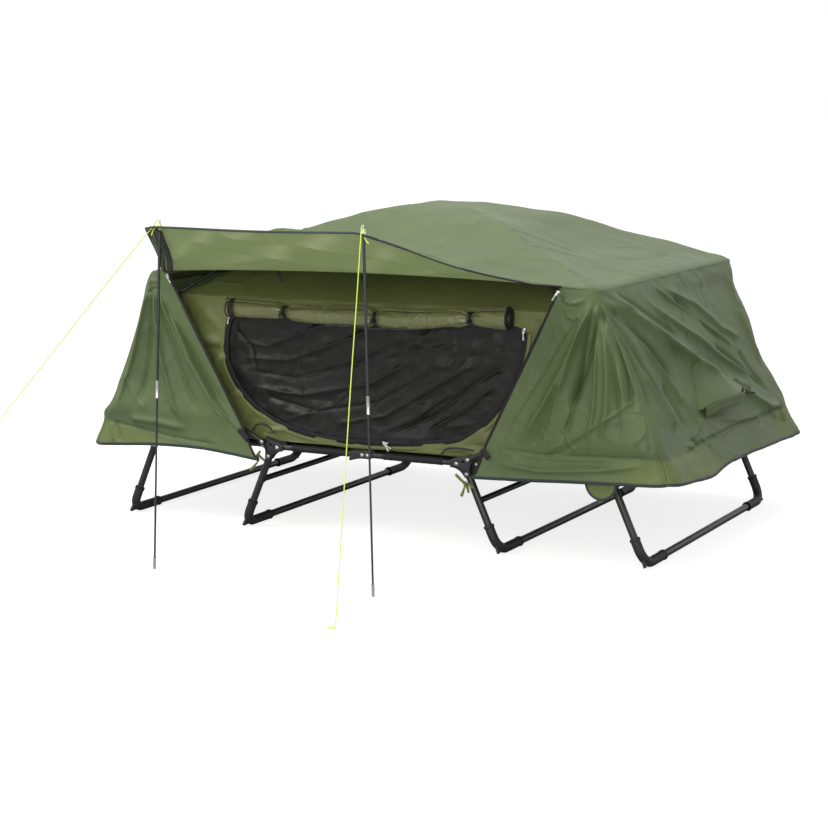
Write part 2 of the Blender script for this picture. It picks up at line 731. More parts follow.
def grown(name, tree, points, facings, material, edges=True, **sizes):
    """What a node tree makes from a line or a set of points, as a plain mesh."""
    mesh = bpy.data.meshes.new(name)
    links = [(k, k + 1) for k in range(len(points) - 1)] if edges else []
    mesh.from_pydata([tuple(p) for p in points], links, [])
    attribute = mesh.attributes.new("facing", "FLOAT_VECTOR", "POINT")
    attribute.data.foreach_set("vector", [c for f in facings for c in Vector(f).normalized()])
    made = linked(name, mesh)
    step = made.modifiers.new(tree.name, "NODES")
    step.node_group = tree
    inputs = {item.name: item.identifier for item in tree.interface.items_tree
              if item.in_out == "INPUT"}
    for key, value in sizes.items():
        step[inputs[key.replace("_", " ")]] = value
    step[inputs["Finish"]] = material
    baked(made)
    if "facing" in made.data.attributes:
        made.data.attributes.remove(made.data.attributes["facing"])
    if not made.data.materials:
        made.data.materials.append(material)
    return made


def rivets(name, places, body):
    """Rivet heads at (x, y, z) with the side that each faces."""
    made = grown(name, RIVET_TREE, [p for p, _ in places], [f for _, f in places], STEEL,
                 edges=False, Head_radius=RIVET_HEAD_R, Head_height=RIVET_HEAD)
    attach(settled(made), body, "bare_steel")


# Bed frame

def leg_path(pivot, foot_x, lane):
    corners = [(pivot[0], -lane, pivot[1]), (foot_x, -lane, FOOT_Z),
               (foot_x, lane, FOOT_Z), (pivot[0], lane, pivot[1])]
    return rounded_path(corners, [FOOT_BEND_R, FOOT_BEND_R])


def make_leg(name, side, pivot, foot_x, lane, crossbar, body):
    """A leg bent to a U, with its welded crossbar if it has one."""
    leg = tube(name + "_tube", leg_path(pivot, foot_x, lane), LEG_R, BLACK, pivot_axis=(0, 1, 0))
    if crossbar:
        share = (pivot[1] - CROSSBAR_Z) / (pivot[1] - FOOT_Z)
        x = mix(pivot[0], foot_x, share)
        reach = lane - LEG_R / 2
        beads = []
        for _, depth in DEPTHS:
            at = depth * (lane - LEG_R * 0.7)
            beads.append(tube("bead", [(x, at, CROSSBAR_Z), (x, at - depth * 0.006, CROSSBAR_Z)],
                              CROSSBAR_R, BLACK, radii=[CROSSBAR_R * 1.35, CROSSBAR_R]))
        bar = tube("crossbar", [(x, -reach, CROSSBAR_Z), (x, reach, CROSSBAR_Z)], CROSSBAR_R, BLACK)
        leg = joined(name + "_tube", [leg, bar] + beads)
    attach(settled(leg, side), body, "black_tube", name)


def make_boot(name, side, depth, pivot, foot_x, lane, body):
    """A rubber boot over a leg's bottom corner, with a collar, a gusset and a ribbed flat sole."""
    foot = Vector((foot_x, -lane, FOOT_Z))
    up_leg = (Vector((pivot[0], -lane, pivot[1])) - foot).normalized()
    inward = Vector((0, 1, 0))
    half = up_leg.angle(inward) / 2
    reach = FOOT_BEND_R / math.tan(half)
    ends = [foot + up_leg * (reach + BOOT_RISE), foot, foot + inward * (reach + BOOT_LENGTH)]
    path = rounded_path(ends, [FOOT_BEND_R])
    longer = rounded_path([ends[0] + up_leg * 0.02, foot, ends[2] + inward * 0.02], [FOOT_BEND_R])
    outer_r = LEG_R + GAP + BOOT_WALL
    boot = tube("boot", path, outer_r, RUBBER)
    collars = []
    for end, along in ((ends[0], up_leg), (ends[2], inward)):
        collars.append(tube("collar", [end - along * 0.010, end - along * 0.008,
                                       end - along * 0.001, end], outer_r, RUBBER,
                            radii=[outer_r, outer_r + BOOT_RIB, outer_r + BOOT_RIB, outer_r]))
    flat = up_leg.cross(inward).normalized() * GUSSET
    tip = foot - (up_leg + inward) * LEG_R * math.cos(half)
    outline = [foot + up_leg * reach, tip, foot + inward * reach]
    gusset = prism("gusset", [p - flat / 2 for p in outline], flat, RUBBER)
    combine(boot, [gusset] + collars, "UNION")
    bore = tube("bore", longer, LEG_R + GAP)
    floor = block("floor", (foot_x - 0.1, -lane - 0.1, -0.1), (foot_x + 0.1, 0, 0))
    combine(boot, [bore, floor], "DIFFERENCE")
    refinished(boot, RUBBER)
    boot.name = name + "_rubber"
    boot.data.shade_smooth()
    boot.data.set_sharp_from_angle(angle=math.radians(38))
    attach(settled(boot, side, -depth), body, "boot_rubber", name)


def make_hinge_plates(name, side, depth, body):
    """The two plates round a corner of the bed, with their pins and rivets."""
    corner = PLATE_END_HALF - PLATE_CORNER_R
    end_low = (PLATE_END_X + PLATE_CORNER_R, RAIL_Z - corner, PLATE_CORNER_R)
    end_high = (PLATE_END_X + PLATE_CORNER_R, RAIL_Z + corner, PLATE_CORNER_R)
    leg_lug = (*LEG_PIVOT, LUG_R)
    bow_lug = (*BOW_PIVOT, LUG_R)
    end_lug = (*END_PIVOT, LUG_R)
    outer = prism("outer_plate", lug_outline([end_low, leg_lug, bow_lug, end_high],
                                             [0.14, 0.13, 0, 0], PLATE_OUT), (0, PLATE, 0), BLACK)
    slot_x = (RAIL_RIVET[0] + BOW_PIVOT[0]) / 2
    slot_z = RAIL_Z + RAIL_R
    slot = prism("slot", lug_outline([(slot_x - RIVET_R, slot_z - RIVET_R, RIVET_R),
                                      (slot_x + RIVET_R, slot_z, RIVET_R)], [0, 0],
                                     PLATE_OUT - 0.005), (0, 0.02, 0))
    combine(outer, [slot], "DIFFERENCE")
    softened(outer, 0.0007)
    rib = tube("rib", [(PLATE_END_X + 0.006, PLATE_OUT + PLATE, RAIL_Z - 0.0065),
                       (LEG_PIVOT[0] - 0.012, PLATE_OUT + PLATE, LEG_PIVOT[1] + 0.010)],
               0.0016, BLACK, sides=10)
    inner = prism("inner_plate", lug_outline([end_low, leg_lug, end_lug, bow_lug, end_high],
                                             [0.14, 0.08, 0, 0, 0], PLATE_IN - PLATE),
                  (0, PLATE, 0), BLACK)
    softened(inner, 0.0007)
    spans = [(*RAIL_RIVET, PLATE_IN - PLATE, PLATE_OUT + PLATE),
             (*LEG_PIVOT, PLATE_IN - PLATE, PLATE_OUT + PLATE),
             (*BOW_PIVOT, PLATE_IN - PLATE, BOW_LANE + BOW_R + GAP)]
    end_near = END_LANE - RAIL_R - GAP
    pins = [turned("pin", (x, 0, z), [(low, RIVET_R), (high, RIVET_R)], material=STEEL)
            for x, z, low, high in spans + [(*END_PIVOT, end_near, PLATE_IN)]]
    plates = joined(name + "_plates", [outer, inner, rib] + pins)
    attach(settled(plates, side, depth), body, "black_tube", name)
    heads = []
    for x, z, near, far in spans + [(*END_PIVOT, end_near, PLATE_OUT - LEG_R)]:
        heads.append(((side * x, depth * near, z), (0, -depth, 0)))
        heads.append(((side * x, depth * far, z), (0, depth, 0)))
    rivets(name + "_rivets", heads, body)


def make_centre_hinge(name, depth, body):
    """The two plates of a centre hinge, with their pins and rivets."""
    gap_in = MID_LANE - RAIL_R - GAP
    gap_out = MID_LANE + RAIL_R + GAP
    lugs = [(-HINGE_CLEAR_X + LUG_R, RAIL_Z - LUG_R - RIVET_R, RIVET_HEAD_R),
            (CENTRE_X + RIVET_HEAD_R, RAIL_Z, RAIL_R + RIVET_R),
            (-HINGE_CLEAR_X + LUG_R, RAIL_Z + RIVET_HEAD_R, RIVET_HEAD_R)]
    outline = lug_outline(lugs, [0.06, 0, 0.16], gap_out)
    outer = softened(prism("outer", outline, (0, PLATE, 0), BLACK), 0.0006)
    inner = softened(prism("inner", [(x, gap_in - PLATE, z) for x, _, z in outline],
                           (0, PLATE, 0), BLACK), 0.0006)
    pins = [turned("pin", (x, 0, RAIL_Z), [(gap_in, RIVET_R), (gap_out, RIVET_R)], material=STEEL)
            for x in (-CENTRE_X, CENTRE_X)]
    hinge = joined(name + "_plates", [outer, inner] + pins)
    attach(settled(hinge, 1, depth), body, "black_tube", name)
    rivets(name + "_rivets", [((x, depth * far, RAIL_Z), (0, depth * way, 0))
                              for x in (-CENTRE_X, CENTRE_X)
                              for far, way in ((gap_out + PLATE, 1), (gap_in - PLATE, -1))], body)


def make_mid_rail(name, side, depth, body):
    """A middle rail from the centre hinge to a hinge plate."""
    rail = tube(name + "_tube", [(CENTRE_X, MID_LANE, RAIL_Z), (RAIL_RIVET[0], MID_LANE, RAIL_Z)],
                RAIL_R, BLACK, pivot_axis=(0, 1, 0))
    attach(settled(rail, side, depth), body, "black_tube", name)


def end_frame_path():
    corners = [(END_PIVOT[0], -END_LANE, RAIL_Z), (END_X, -END_LANE, RAIL_Z),
               (END_X, END_LANE, RAIL_Z), (END_PIVOT[0], END_LANE, RAIL_Z)]
    return rounded_path(corners, [END_BEND_R, END_BEND_R])


def make_end_frame(name, side, body):
    """The bar round an end of the bed, bent to a U."""
    rail = tube(name + "_tube", end_frame_path(), RAIL_R, BLACK, pivot_axis=(0, 1, 0))
    attach(settled(rail, side), body, "black_tube", name)


def make_saddle(name, side, depth, body):
    """A bent strap over the end rail whose two cheeks carry the end leg's pivot."""
    half = LEG_R + GAP
    top = RAIL_Z + RAIL_R + GAP
    low_z = SADDLE[1] - LUG_R
    start = SADDLE[0] - SADDLE_LENGTH / 2
    bend = [(half + SADDLE_WALL * math.cos(a), top + SADDLE_WALL * math.sin(a))
            for a in (math.pi / 2 * k / 4 for k in range(5))]
    outline = [(half, low_z), (half + SADDLE_WALL, low_z)] + bend
    outline += [(-y, z) for y, z in reversed(bend)]
    outline += [(-half - SADDLE_WALL, low_z), (-half, low_z), (-half, top), (half, top)]
    strap = prism("strap", [(start, END_LANE + y, z) for y, z in outline],
                  (SADDLE_LENGTH, 0, 0), STEEL)
    softened(strap, 0.0005)
    strap.name = name + "_strap"
    low = END_LANE - half - SADDLE_WALL
    high = END_LANE + half + SADDLE_WALL
    attach(settled(strap, side, depth), body, "bare_steel", name)
    rivets(name + "_rivets", [((side * SADDLE[0], depth * y, z), (0, depth * way, 0))
                              for z in (RAIL_Z, SADDLE[1]) for y, way in ((low, -1), (high, 1))],
           body)


def build_frame():
    for side_name, side in SIDES:
        make_leg("leg_mid_" + side_name, side, LEG_PIVOT, MID_FOOT_X, MID_LANE, True,
                 "mid_leg_" + side_name)
        make_leg("leg_end_" + side_name, side, SADDLE, END_FOOT_X, END_LANE, False,
                 "end_leg_" + side_name)
        make_end_frame("end_frame_" + side_name, side, "end_" + side_name)
        for depth_name, depth in DEPTHS:
            place = depth_name + "_" + side_name
            make_mid_rail("mid_rail_" + place, side, depth, "half_" + side_name)
            make_hinge_plates("hinge_plate_" + place, side, depth, "half_" + side_name)
            make_saddle("leg_saddle_" + place, side, depth, "end_" + side_name)
            make_boot("boot_mid_" + place, side, depth, LEG_PIVOT, MID_FOOT_X, MID_LANE,
                      "mid_leg_" + side_name)
            make_boot("boot_end_" + place, side, depth, SADDLE, END_FOOT_X, END_LANE,
                      "end_leg_" + side_name)
    for depth_name, depth in DEPTHS:
        make_centre_hinge("centre_hinge_" + depth_name, depth, "root")


def make_bow(name, side, body):
    """A tent bow with the fly's sleeve round its top bar."""
    pivot = Vector((BOW_PIVOT[0], 0, BOW_PIVOT[1]))
    top = Vector((BOW_TOP[0], 0, BOW_TOP[1]))
    angle = math.radians(25.5)
    elbow = pivot + 0.100 * Vector((math.cos(angle), 0, math.sin(angle)))
    lane = Vector((0, BOW_LANE, 0))
    corners = [pivot - lane, elbow - lane, top - lane, top + lane, elbow + lane, pivot + lane]
    path = rounded_path(corners, [0.080, 0.050, 0.050, 0.080])
    bow = tube(name + "_tube", path, BOW_R, BLACK, pivot_axis=(0, 1, 0))
    attach(settled(bow, side), body, "black_tube", name)
    steps = [top + lane * (0.9 * (k / 20 - 1)) for k in range(41)]
    cover_r = BOW_R + 0.0022
    radii = [cover_r + 0.0007 * math.sin(k * 2.1) for k in range(41)]
    cover = tube(name + "_sleeve", steps, cover_r, FLY_UNDER, radii=radii, up=(1, 0, 0))
    attach(settled(cover, side), body, "fly_cloth")


ROOF_POLE_END = [(0.545, 0.385, 0.893), (0.615, 0.440, 0.840), (0.680, 0.500, 0.790),
                 (0.722, 0.536, 0.757)]


def roof_pole_points(hand, drop):
    """A roof pole from corner pocket to corner pocket, under the fly's ridges."""
    middle = []
    for share in (-0.60, -0.45, -0.30, -0.15, 0.0, 0.15, 0.30, 0.45, 0.60):
        x, y = share * BOW_TOP[0], hand * share * POLE_SEAT_Y
        z = float(roof_height(np.array(x), np.array(y)))
        middle.append((x, y, z - ROOF_POLE_R - 0.004 - drop))
    far = [(x, hand * y, z) for x, y, z in ROOF_POLE_END]
    near = [(-x, -hand * y, z) for x, y, z in reversed(ROOF_POLE_END)]
    return smooth_route(near + middle + far, 5)


# Cloth

def normals_of(points):
    across = np.gradient(points, axis=1)
    down = np.gradient(points, axis=0)
    normal = np.cross(across, down)
    return normal / np.maximum(np.linalg.norm(normal, axis=2, keepdims=True), 1e-12)


def unit_grid(columns, rows):
    """Shares from 0 to 1 along and down a grid."""
    return np.meshgrid(np.linspace(0, 1, columns + 1), np.linspace(0, 1, rows + 1))


def window(share):
    """A smooth swell that is nothing at both ends of a span and whole in its middle."""
    return np.sin(np.pi * np.clip(share, 0, 1)) ** 2


def faded(share, start, end):
    """Whole over a span, and fading to nothing over a length at each end."""
    return np.clip(share / start, 0, 1) * np.clip((1 - share) / end, 0, 1)


def eased(share):
    """A share from 0 to 1 that starts and stops smoothly."""
    return share * share * (3 - 2 * share)


def places(*numbers):
    """Pairs in metres, from a row of numbers in millimetres."""
    return [(a / 1000, b / 1000) for a, b in zip(numbers[::2], numbers[1::2])]


def ridges(rows):
    """Ridges for folds(), from rows of a width and a height in tenths of a millimetre and the
    places along the ridge in millimetres."""
    return [(places(*line), width / 10000, height / 10000) for width, height, *line in rows]


def folds(a, b, table, narrow=1.0, strong=1.0):
    """How far cloth stands out at (a, b), from ridges given as (line, width, height)."""
    total = np.zeros_like(a)
    for line, width, height in table:
        width, height = width * narrow, height * strong
        runs = [math.dist(p, q) for p, q in zip(line, line[1:])]
        whole = sum(runs)
        best = np.full_like(a, 9.0)
        share = np.zeros_like(a)
        done = 0
        for (pa, pb), (qa, qb), run in zip(line, line[1:], runs):
            t = ((a - pa) * (qa - pa) + (b - pb) * (qb - pb)) / (run * run)
            t = np.clip(t, 0, 1)
            far = np.hypot(a - pa - t * (qa - pa), b - pb - t * (qb - pb))
            nearer = far < best
            best = np.where(nearer, far, best)
            share = np.where(nearer, (done + t * run) / whole, share)
            done += run
        taper = eased(faded(share, 0.14, 0.20))
        blunt = np.sqrt(best * best + (0.3 * width) ** 2) - 0.3 * width
        total += height * taper * np.exp(-blunt / (0.8 * width))
    return total


def crinkle(a, b, count, size, height, heading, spread, seed):
    """Small straight creases scattered over (a, b), most of them along one heading."""
    pick = np.random.default_rng(seed)
    total = np.zeros_like(a)
    for _ in range(count):
        ca = pick.uniform(a.min(), a.max())
        cb = pick.uniform(b.min(), b.max())
        way = heading + spread * pick.uniform(-1, 1)
        half = size * pick.uniform(0.4, 1.0)
        rise = height * pick.uniform(0.4, 1.0) * pick.choice((-1, 1))
        along = (a - ca) * math.cos(way) + (b - cb) * math.sin(way)
        beside = (b - cb) * math.cos(way) - (a - ca) * math.sin(way) - 1.2 * along * along
        reach = np.clip(1 - (along / half) ** 2, 0, 1)
        total += rise * reach * np.exp(-np.sqrt(beside ** 2 + 4e-6) / (0.10 * half + 0.004))
    return total


def ripples(points, size, height, seed):
    """Slow uneven waves all over a piece."""
    out = np.empty(points.shape[:2])
    for j in range(points.shape[0]):
        for i in range(points.shape[1]):
            x, y, z = points[j, i]
            out[j, i] = noise.fractal(Vector((x / size + seed, y / size, z / size)), 0.9, 2.0, 3)
    return out * height


def line_at(table, along):
    """A value read off a table of (position, value) pairs with a smooth curve."""
    places = np.array([p for p, _ in table], float)
    values = np.array([v for _, v in table], float)
    if places[0] > places[-1]:
        places = places[::-1]
        values = values[::-1]
    slopes = np.gradient(values, places)
    at = np.clip(np.asarray(along, float), places[0], places[-1])
    k = np.clip(np.searchsorted(places, at) - 1, 0, len(places) - 2)
    width = places[k + 1] - places[k]
    t = (at - places[k]) / width
    return ((2 * t ** 3 - 3 * t ** 2 + 1) * values[k]
            + (t ** 3 - 2 * t ** 2 + t) * width * slopes[k]
            + (3 * t ** 2 - 2 * t ** 3) * values[k + 1]
            + (t ** 3 - t ** 2) * width * slopes[k + 1])


def cloth_solid(name, points, outer, inner, thickness=CLOTH, tint=None):
    """A cloth over a grid of points: outer is its finish on the side that faces out."""
    rows, columns = points.shape[0] - 1, points.shape[1] - 1
    normal = normals_of(points) * (thickness / 2)
    wide = columns + 1
    count = wide * (rows + 1)
    vertices = np.concatenate([(points + normal).reshape(-1, 3), (points - normal).reshape(-1, 3)])
    index = np.arange(count).reshape(rows + 1, wide)
    a, b, c, d = index[:-1, :-1], index[:-1, 1:], index[1:, 1:], index[1:, :-1]
    upper = np.stack([a, b, c, d], axis=2).reshape(-1, 4)
    lower = np.stack([a, d, c, b], axis=2).reshape(-1, 4) + count
    rim = [*index[0, :-1], *index[:-1, -1], *index[-1, :0:-1], *index[:0:-1, 0]]
    sides = [[p, count + p, count + q, q] for p, q in zip(rim, rim[1:] + rim[:1])]
    faces = upper.tolist() + lower.tolist() + sides
    mesh = bpy.data.meshes.new(name)
    mesh.from_pydata(vertices.tolist(), [], faces)
    mesh.materials.append(outer)
    mesh.materials.append(inner)
    chosen = np.zeros(len(faces), np.int32)
    chosen[len(upper):2 * len(upper)] = 1
    if tint is not None:
        layer = mesh.attributes.new("tint", "FLOAT", "POINT")
        layer.data.foreach_set("value", np.concatenate([tint.ravel(), tint.ravel()]))
    mesh.polygons.foreach_set("material_index", chosen)
    mesh.shade_smooth()
    return linked(name, mesh)


def faced(points, towards):
    """The grid turned so that its outer side faces towards a direction."""
    normal = normals_of(points)
    if (normal @ np.array(towards, float)).mean() < 0:
        return points[:, ::-1]
    return points


ZONES = [("left_end", -9, -END_CUT, "half_left", "bow_left", END_GIVE, -1),
         ("left", -END_CUT, 0, "root", "half_left", MIDDLE_GIVE, -1),
         ("right", 0, END_CUT, "root", "half_right", MIDDLE_GIVE, 1),
         ("right_end", END_CUT, 9, "half_right", "bow_right", END_GIVE, 1)]


def follow(shape, nodes=()):
    """Cut a piece where it passes to the next body, and bend each part between its two bodies."""
    name = shape.name
    whole = bmesh.new()
    whole.from_mesh(shape.data)
    for x in (-END_CUT, 0, END_CUT):
        geometry = list(whole.verts) + list(whole.edges) + list(whole.faces)
        bmesh.ops.bisect_plane(whole, geom=geometry, dist=1e-6, plane_co=(x, 0, 0),
                               plane_no=(1, 0, 0))
    whole.normal_update()
    mesh = bpy.data.meshes.new(name)
    whole.to_mesh(mesh)
    whole.free()
    for material in shape.data.materials:
        mesh.materials.append(material)
    shading = np.empty(len(mesh.vertices) * 3, np.float32)
    mesh.vertex_normals.foreach_get("vector", shading)
    attribute = mesh.attributes.new("shading", "FLOAT_VECTOR", "POINT")
    attribute.data.foreach_set("vector", shading)
    bpy.data.objects.remove(shape, do_unlink=True)
    for zone, low, high, first, second, give, side in ZONES:
        part = bmesh.new()
        part.from_mesh(mesh)
        middles = {face: face.calc_center_median().x for face in part.faces}
        if not any(low <= x < high for x in middles.values()):
            part.free()
            continue
        spare = [face for face, x in middles.items() if not low <= x < high]
        bmesh.ops.delete(part, geom=spare, context="FACES")
        open_edges = [edge for edge in part.edges if edge.is_boundary]
        if open_edges:
            filled = bmesh.ops.holes_fill(part, edges=open_edges, sides=0)
            bmesh.ops.triangulate(part, faces=filled["faces"])
        new_mesh = bpy.data.meshes.new(name + "_" + zone)
        part.to_mesh(new_mesh)
        part.free()
        for material in mesh.materials:
            new_mesh.materials.append(material)
        kept = np.empty(len(new_mesh.vertices) * 3, np.float32)
        new_mesh.attributes["shading"].data.foreach_get("vector", kept)
        new_mesh.attributes.remove(new_mesh.attributes["shading"])
        new_mesh.shade_smooth()
        new_mesh.normals_split_custom_set_from_vertices(kept.reshape(-1, 3).tolist())
        new_mesh.transform(Matrix.Translation((0, SETBACK, 0)))
        piece = linked(name + "_" + zone, new_mesh)
        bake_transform(piece)
        if nodes:
            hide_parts(*nodes)
    bpy.data.meshes.remove(mesh)


# The fly

RIGHT_CORNER = places(835, 800, 777, 832, 675, 884, 571, 922, 475, 963, 377, 1002, 345, 1018,
                      252, 1050)
LEFT_CORNER = places(835, 800, 806, 819, 740, 840, 668, 862, 560, 906, 465, 947, 380, 980,
                     355, 1006, 327, 1012, 246, 1037)
BACK_CORNER_IN = places(835, 0, 800, 6, 760, 18, 700, 16, 600, 6, 500, 6, 440, -4, 252, 4)
BACK_CORNER_Y = places(835, 598, 800, 586, 740, 566, 653, 556, 431, 552, 372, 580, 345, 572,
                       252, 612)
FRONT_CORNER_Y = places(835, 600, 700, 604, 450, 606, 372, 622, 345, 612, 252, 620)
RIGHT_HEM = places(420, 250, 560, 256, 695, 264, 823, 269, 980, 273, 1050, 277)
LEFT_HEM = places(357, 241, 439, 251, 568, 263, 766, 264, 900, 254, 1009, 246)
END_HEM = places(-620, 277, -471, 265, -284, 254, -155, 266, 46, 264, 350, 256, 524, 250, 612, 252)
LEFT_END_HEM = places(-620, 246, -300, 250, 200, 256, 612, 252)


LEFT_RIDGE = [(0, 0), (0.14, -0.010), (0.27, -0.031), (0.33, -0.045), (0.40, -0.063),
              (0.47, -0.082), (0.54, -0.101), (0.70, -0.140), (0.82, -0.174), (0.90, -0.195),
              (1.0, -0.211)]
RIGHT_RIDGE = [(0, 0), (0.158, -0.010), (0.314, -0.033), (0.39, -0.047), (0.528, -0.087),
               (0.703, -0.136), (0.78, -0.155), (0.88, -0.184), (1.0, -0.211)]


def roof_height(x, y):
    """The fly's height over a place: four gores on ridges that fall from the crown."""
    across = np.abs(x) / EAVE_X
    along = np.abs(y) / EAVE_Y
    ring = np.maximum(across, along)
    peak = CROWN_Z + ROOF_POLE_R + ROOF_CLEAR
    right = eased(np.clip(x / 0.5 + 0.5, 0, 1))
    ridge = peak + line_at(LEFT_RIDGE, ring) * (1 - right) + line_at(RIGHT_RIDGE, ring) * right
    even = np.where(ring > 0, np.minimum(across, along) / np.maximum(ring, 1e-9), 1)
    sag = 0.012 * (1 - even * even) ** 2 * window(ring)
    lift = np.where(y < 0, EAVE_LIFT * along ** 6 * (1 - across * across), 0)
    turn_down = 0.007 * np.clip((across - 0.965) / 0.035, 0, 1) ** 2
    return ridge - sag + lift - turn_down


CORNER_CUT = 0.016            # how far a rounded corner lies inside the sharp one
CORNER_REACH = 0.042          # how far along each panel the rounding begins


def corner_round(distance):
    """What a panel stands out from the straight line between its rounded corners."""
    return CORNER_CUT * (1 - (1 - np.clip(distance / CORNER_REACH, 0, 1)) ** 2)


def corner_point(side_name, depth, z):
    """The corner seam of the fly at a height."""
    table = LEFT_CORNER if side_name == "left" else RIGHT_CORNER
    side = dict(SIDES)[side_name]
    inward = CORNER_CUT + (line_at(BACK_CORNER_IN, z) if depth * side > 0 and side > 0 else 0)
    x = side * (line_at(table, z) - inward)
    y = depth * (line_at(BACK_CORNER_Y if depth > 0 else FRONT_CORNER_Y, z) - CORNER_CUT)
    return np.stack([x, y, np.asarray(z, float)], axis=-1)


ROOF_CREASES = ridges([
    (60, 22, 300, -350, 450, -200, 580, -160),
    (50, 20, 440, -420, 520, -300, 600, -220),
    (60, 24, 360, -500, 500, -440, 640, -460),
    (80, 30, 250, -550, 380, -470, 520, -500, 660, -540),
    (60, 16, 550, 100, 600, 220, 590, 350),
    (70, 30, 520, -560, 620, -500, 720, -500),
    (100, 20, 150, -400, 220, -300, 240, -160),
    (100, -20, 660, -100, 700, 80, 680, 300),
    (80, 20, -300, -350, -460, -220, -600, -200),
    (80, 22, -200, 300, -100, 420, 50, 500),
    (80, 22, 200, 280, 360, 400, 440, 520),
    (120, 26, -620, -360, -660, -100, -640, 200),
    (80, 20, -450, 200, -520, 380, -600, 500),
])


def build_roof():
    """The fly's roof over the poles and the bows, with the felled seams along its edges."""
    steps = 160
    share = np.linspace(-1, 1, steps + 1)
    along, across = np.meshgrid(share, share, indexing="ij")
    pull = 1 - 0.004 * np.abs(across * along) ** 5
    x = EAVE_X * across * pull
    y = EAVE_Y * along * pull
    z = roof_height(EAVE_X * across, EAVE_Y * along)
    for _ in range(3):
        z[1:-1, 1:-1] += 0.5 * ((z[:-2, 1:-1] + z[2:, 1:-1] + z[1:-1, :-2] + z[1:-1, 2:]) / 4
                                - z[1:-1, 1:-1])
    near_side = CORNER_CUT - corner_round(EAVE_Y * (1 - np.abs(along)))
    near_front = CORNER_CUT - corner_round(EAVE_X * (1 - np.abs(across)))
    x -= np.sign(across) * near_side * np.abs(across) ** 8
    y -= np.sign(along) * near_front * np.abs(along) ** 8
    points = np.stack([x, y, z], axis=2)
    inside = np.clip((1 - np.maximum(np.abs(across), np.abs(along))) / 0.06, 0, 1)
    seam = np.abs(np.abs(across) - np.abs(along)) * EAVE_Y
    felled = 0.0010 * np.exp(-(seam / 0.006) ** 4) * (np.maximum(abs(across), abs(along)) > 0.05)
    bar_seam = -0.0016 * np.exp(-((np.abs(x) - 0.762) / 0.004) ** 2)
    relief = (folds(x, y, ROOF_CREASES, 0.8, 1.7) + ripples(points, 0.26, 0.0062, 3)
              + crinkle(x, y, 60, 0.16, 0.0022, -0.5, 0.9, 5) + felled)
    points[..., 2] += inside * relief + bar_seam
    for name, line, facing in (("right", points[:, -1], (0.8, 0, 0.6)),
                               ("left", points[:, 0], (-0.8, 0, 0.6)),
                               ("back", points[-1], (0, 0.8, 0.6)),
                               ("front", points[0, 150:], (0, -0.8, 0.6))):
        eave_seam("eave_seam_" + name, line, facing)
    points = faced(points, (0, 0, 1))
    roof = cloth_solid("roof_cloth", points, FLY, FLY_UNDER)
    follow(roof, ["fly_roof"])


RIGHT_FRONT_FOLDS = ridges([
    (130, 100, 792, 810, 735, 660, 680, 520, 640, 400),
    (120, -90, 797, 810, 765, 660, 735, 520, 700, 360),
    (120, 100, 802, 810, 802, 660, 798, 500, 780, 350),
    (120, -90, 806, 800, 850, 640, 872, 500, 880, 390),
    (60, 50, 745, 350, 700, 420, 720, 480),
    (60, -40, 620, 330, 700, 350, 800, 420),
    (220, 160, 800, 800, 751, 703, 695, 593, 626, 469, 560, 360),
    (200, -200, 807, 775, 790, 681, 755, 580, 715, 470),
    (220, 150, 818, 765, 834, 695, 840, 602, 838, 480, 820, 380),
    (160, -140, 826, 780, 868, 690, 895, 580, 915, 460),
    (40, -35, 759, 768, 700, 688, 624, 565, 540, 430, 470, 300),
    (60, 50, 641, 343, 740, 395, 864, 473, 956, 550),
    (60, 40, 895, 484, 964, 486),
    (100, 140, 985, 470, 995, 420, 1000, 372),
    (80, -90, 966, 450, 972, 405, 980, 365),
    (70, 60, 930, 385, 955, 420, 965, 455),
    (60, -45, 470, 345, 628, 336, 822, 343, 948, 350, 1020, 350),
    (140, 90, 480, 300, 629, 290, 823, 306, 973, 334),
    (80, -40, 560, 320, 700, 318, 860, 327),
    (240, -100, 690, 560, 650, 450, 600, 350),
    (70, 60, 690, 800, 720, 790, 770, 805),
    (60, -60, 680, 815, 700, 790, 735, 782),
    (60, 50, 700, 760, 730, 745, 755, 760),
    (200, 60, 870, 430, 885, 520, 870, 620),
])
LEFT_FRONT_FOLDS = ridges([
    (120, 120, -790, 790, -820, 669, -862, 545, -925, 370),
    (200, -120, -775, 790, -790, 640, -815, 500, -850, 370),
    (180, 140, -770, 800, -761, 694, -736, 531, -690, 400, -653, 330),
    (160, -100, -762, 770, -710, 600, -650, 460, -590, 360),
    (120, 130, -758, 775, -657, 590, -567, 459, -484, 335),
    (90, -80, -748, 765, -656, 630, -579, 514, -500, 400),
    (90, 110, -740, 770, -631, 570, -541, 434, -430, 318),
    (40, -35, -694, 767, -566, 562, -451, 364, -395, 275),
    (60, -50, -993, 332, -833, 309, -699, 291, -503, 276),
    (70, 80, -962, 322, -950, 290, -943, 256),
    (70, -80, -942, 324, -925, 290, -912, 259),
    (220, 120, -880, 345, -760, 340, -640, 322),
    (60, 60, -796, 790, -778, 804, -750, 803),
    (60, -60, -800, 760, -775, 778, -745, 778),
    (180, 60, -900, 500, -860, 430, -800, 370),
])


def seam_share(height, seam):
    """How much of the skirt's colour shows: crisp at the gathered seam above it."""
    return np.clip((seam - height) / 0.006, 0, 1)


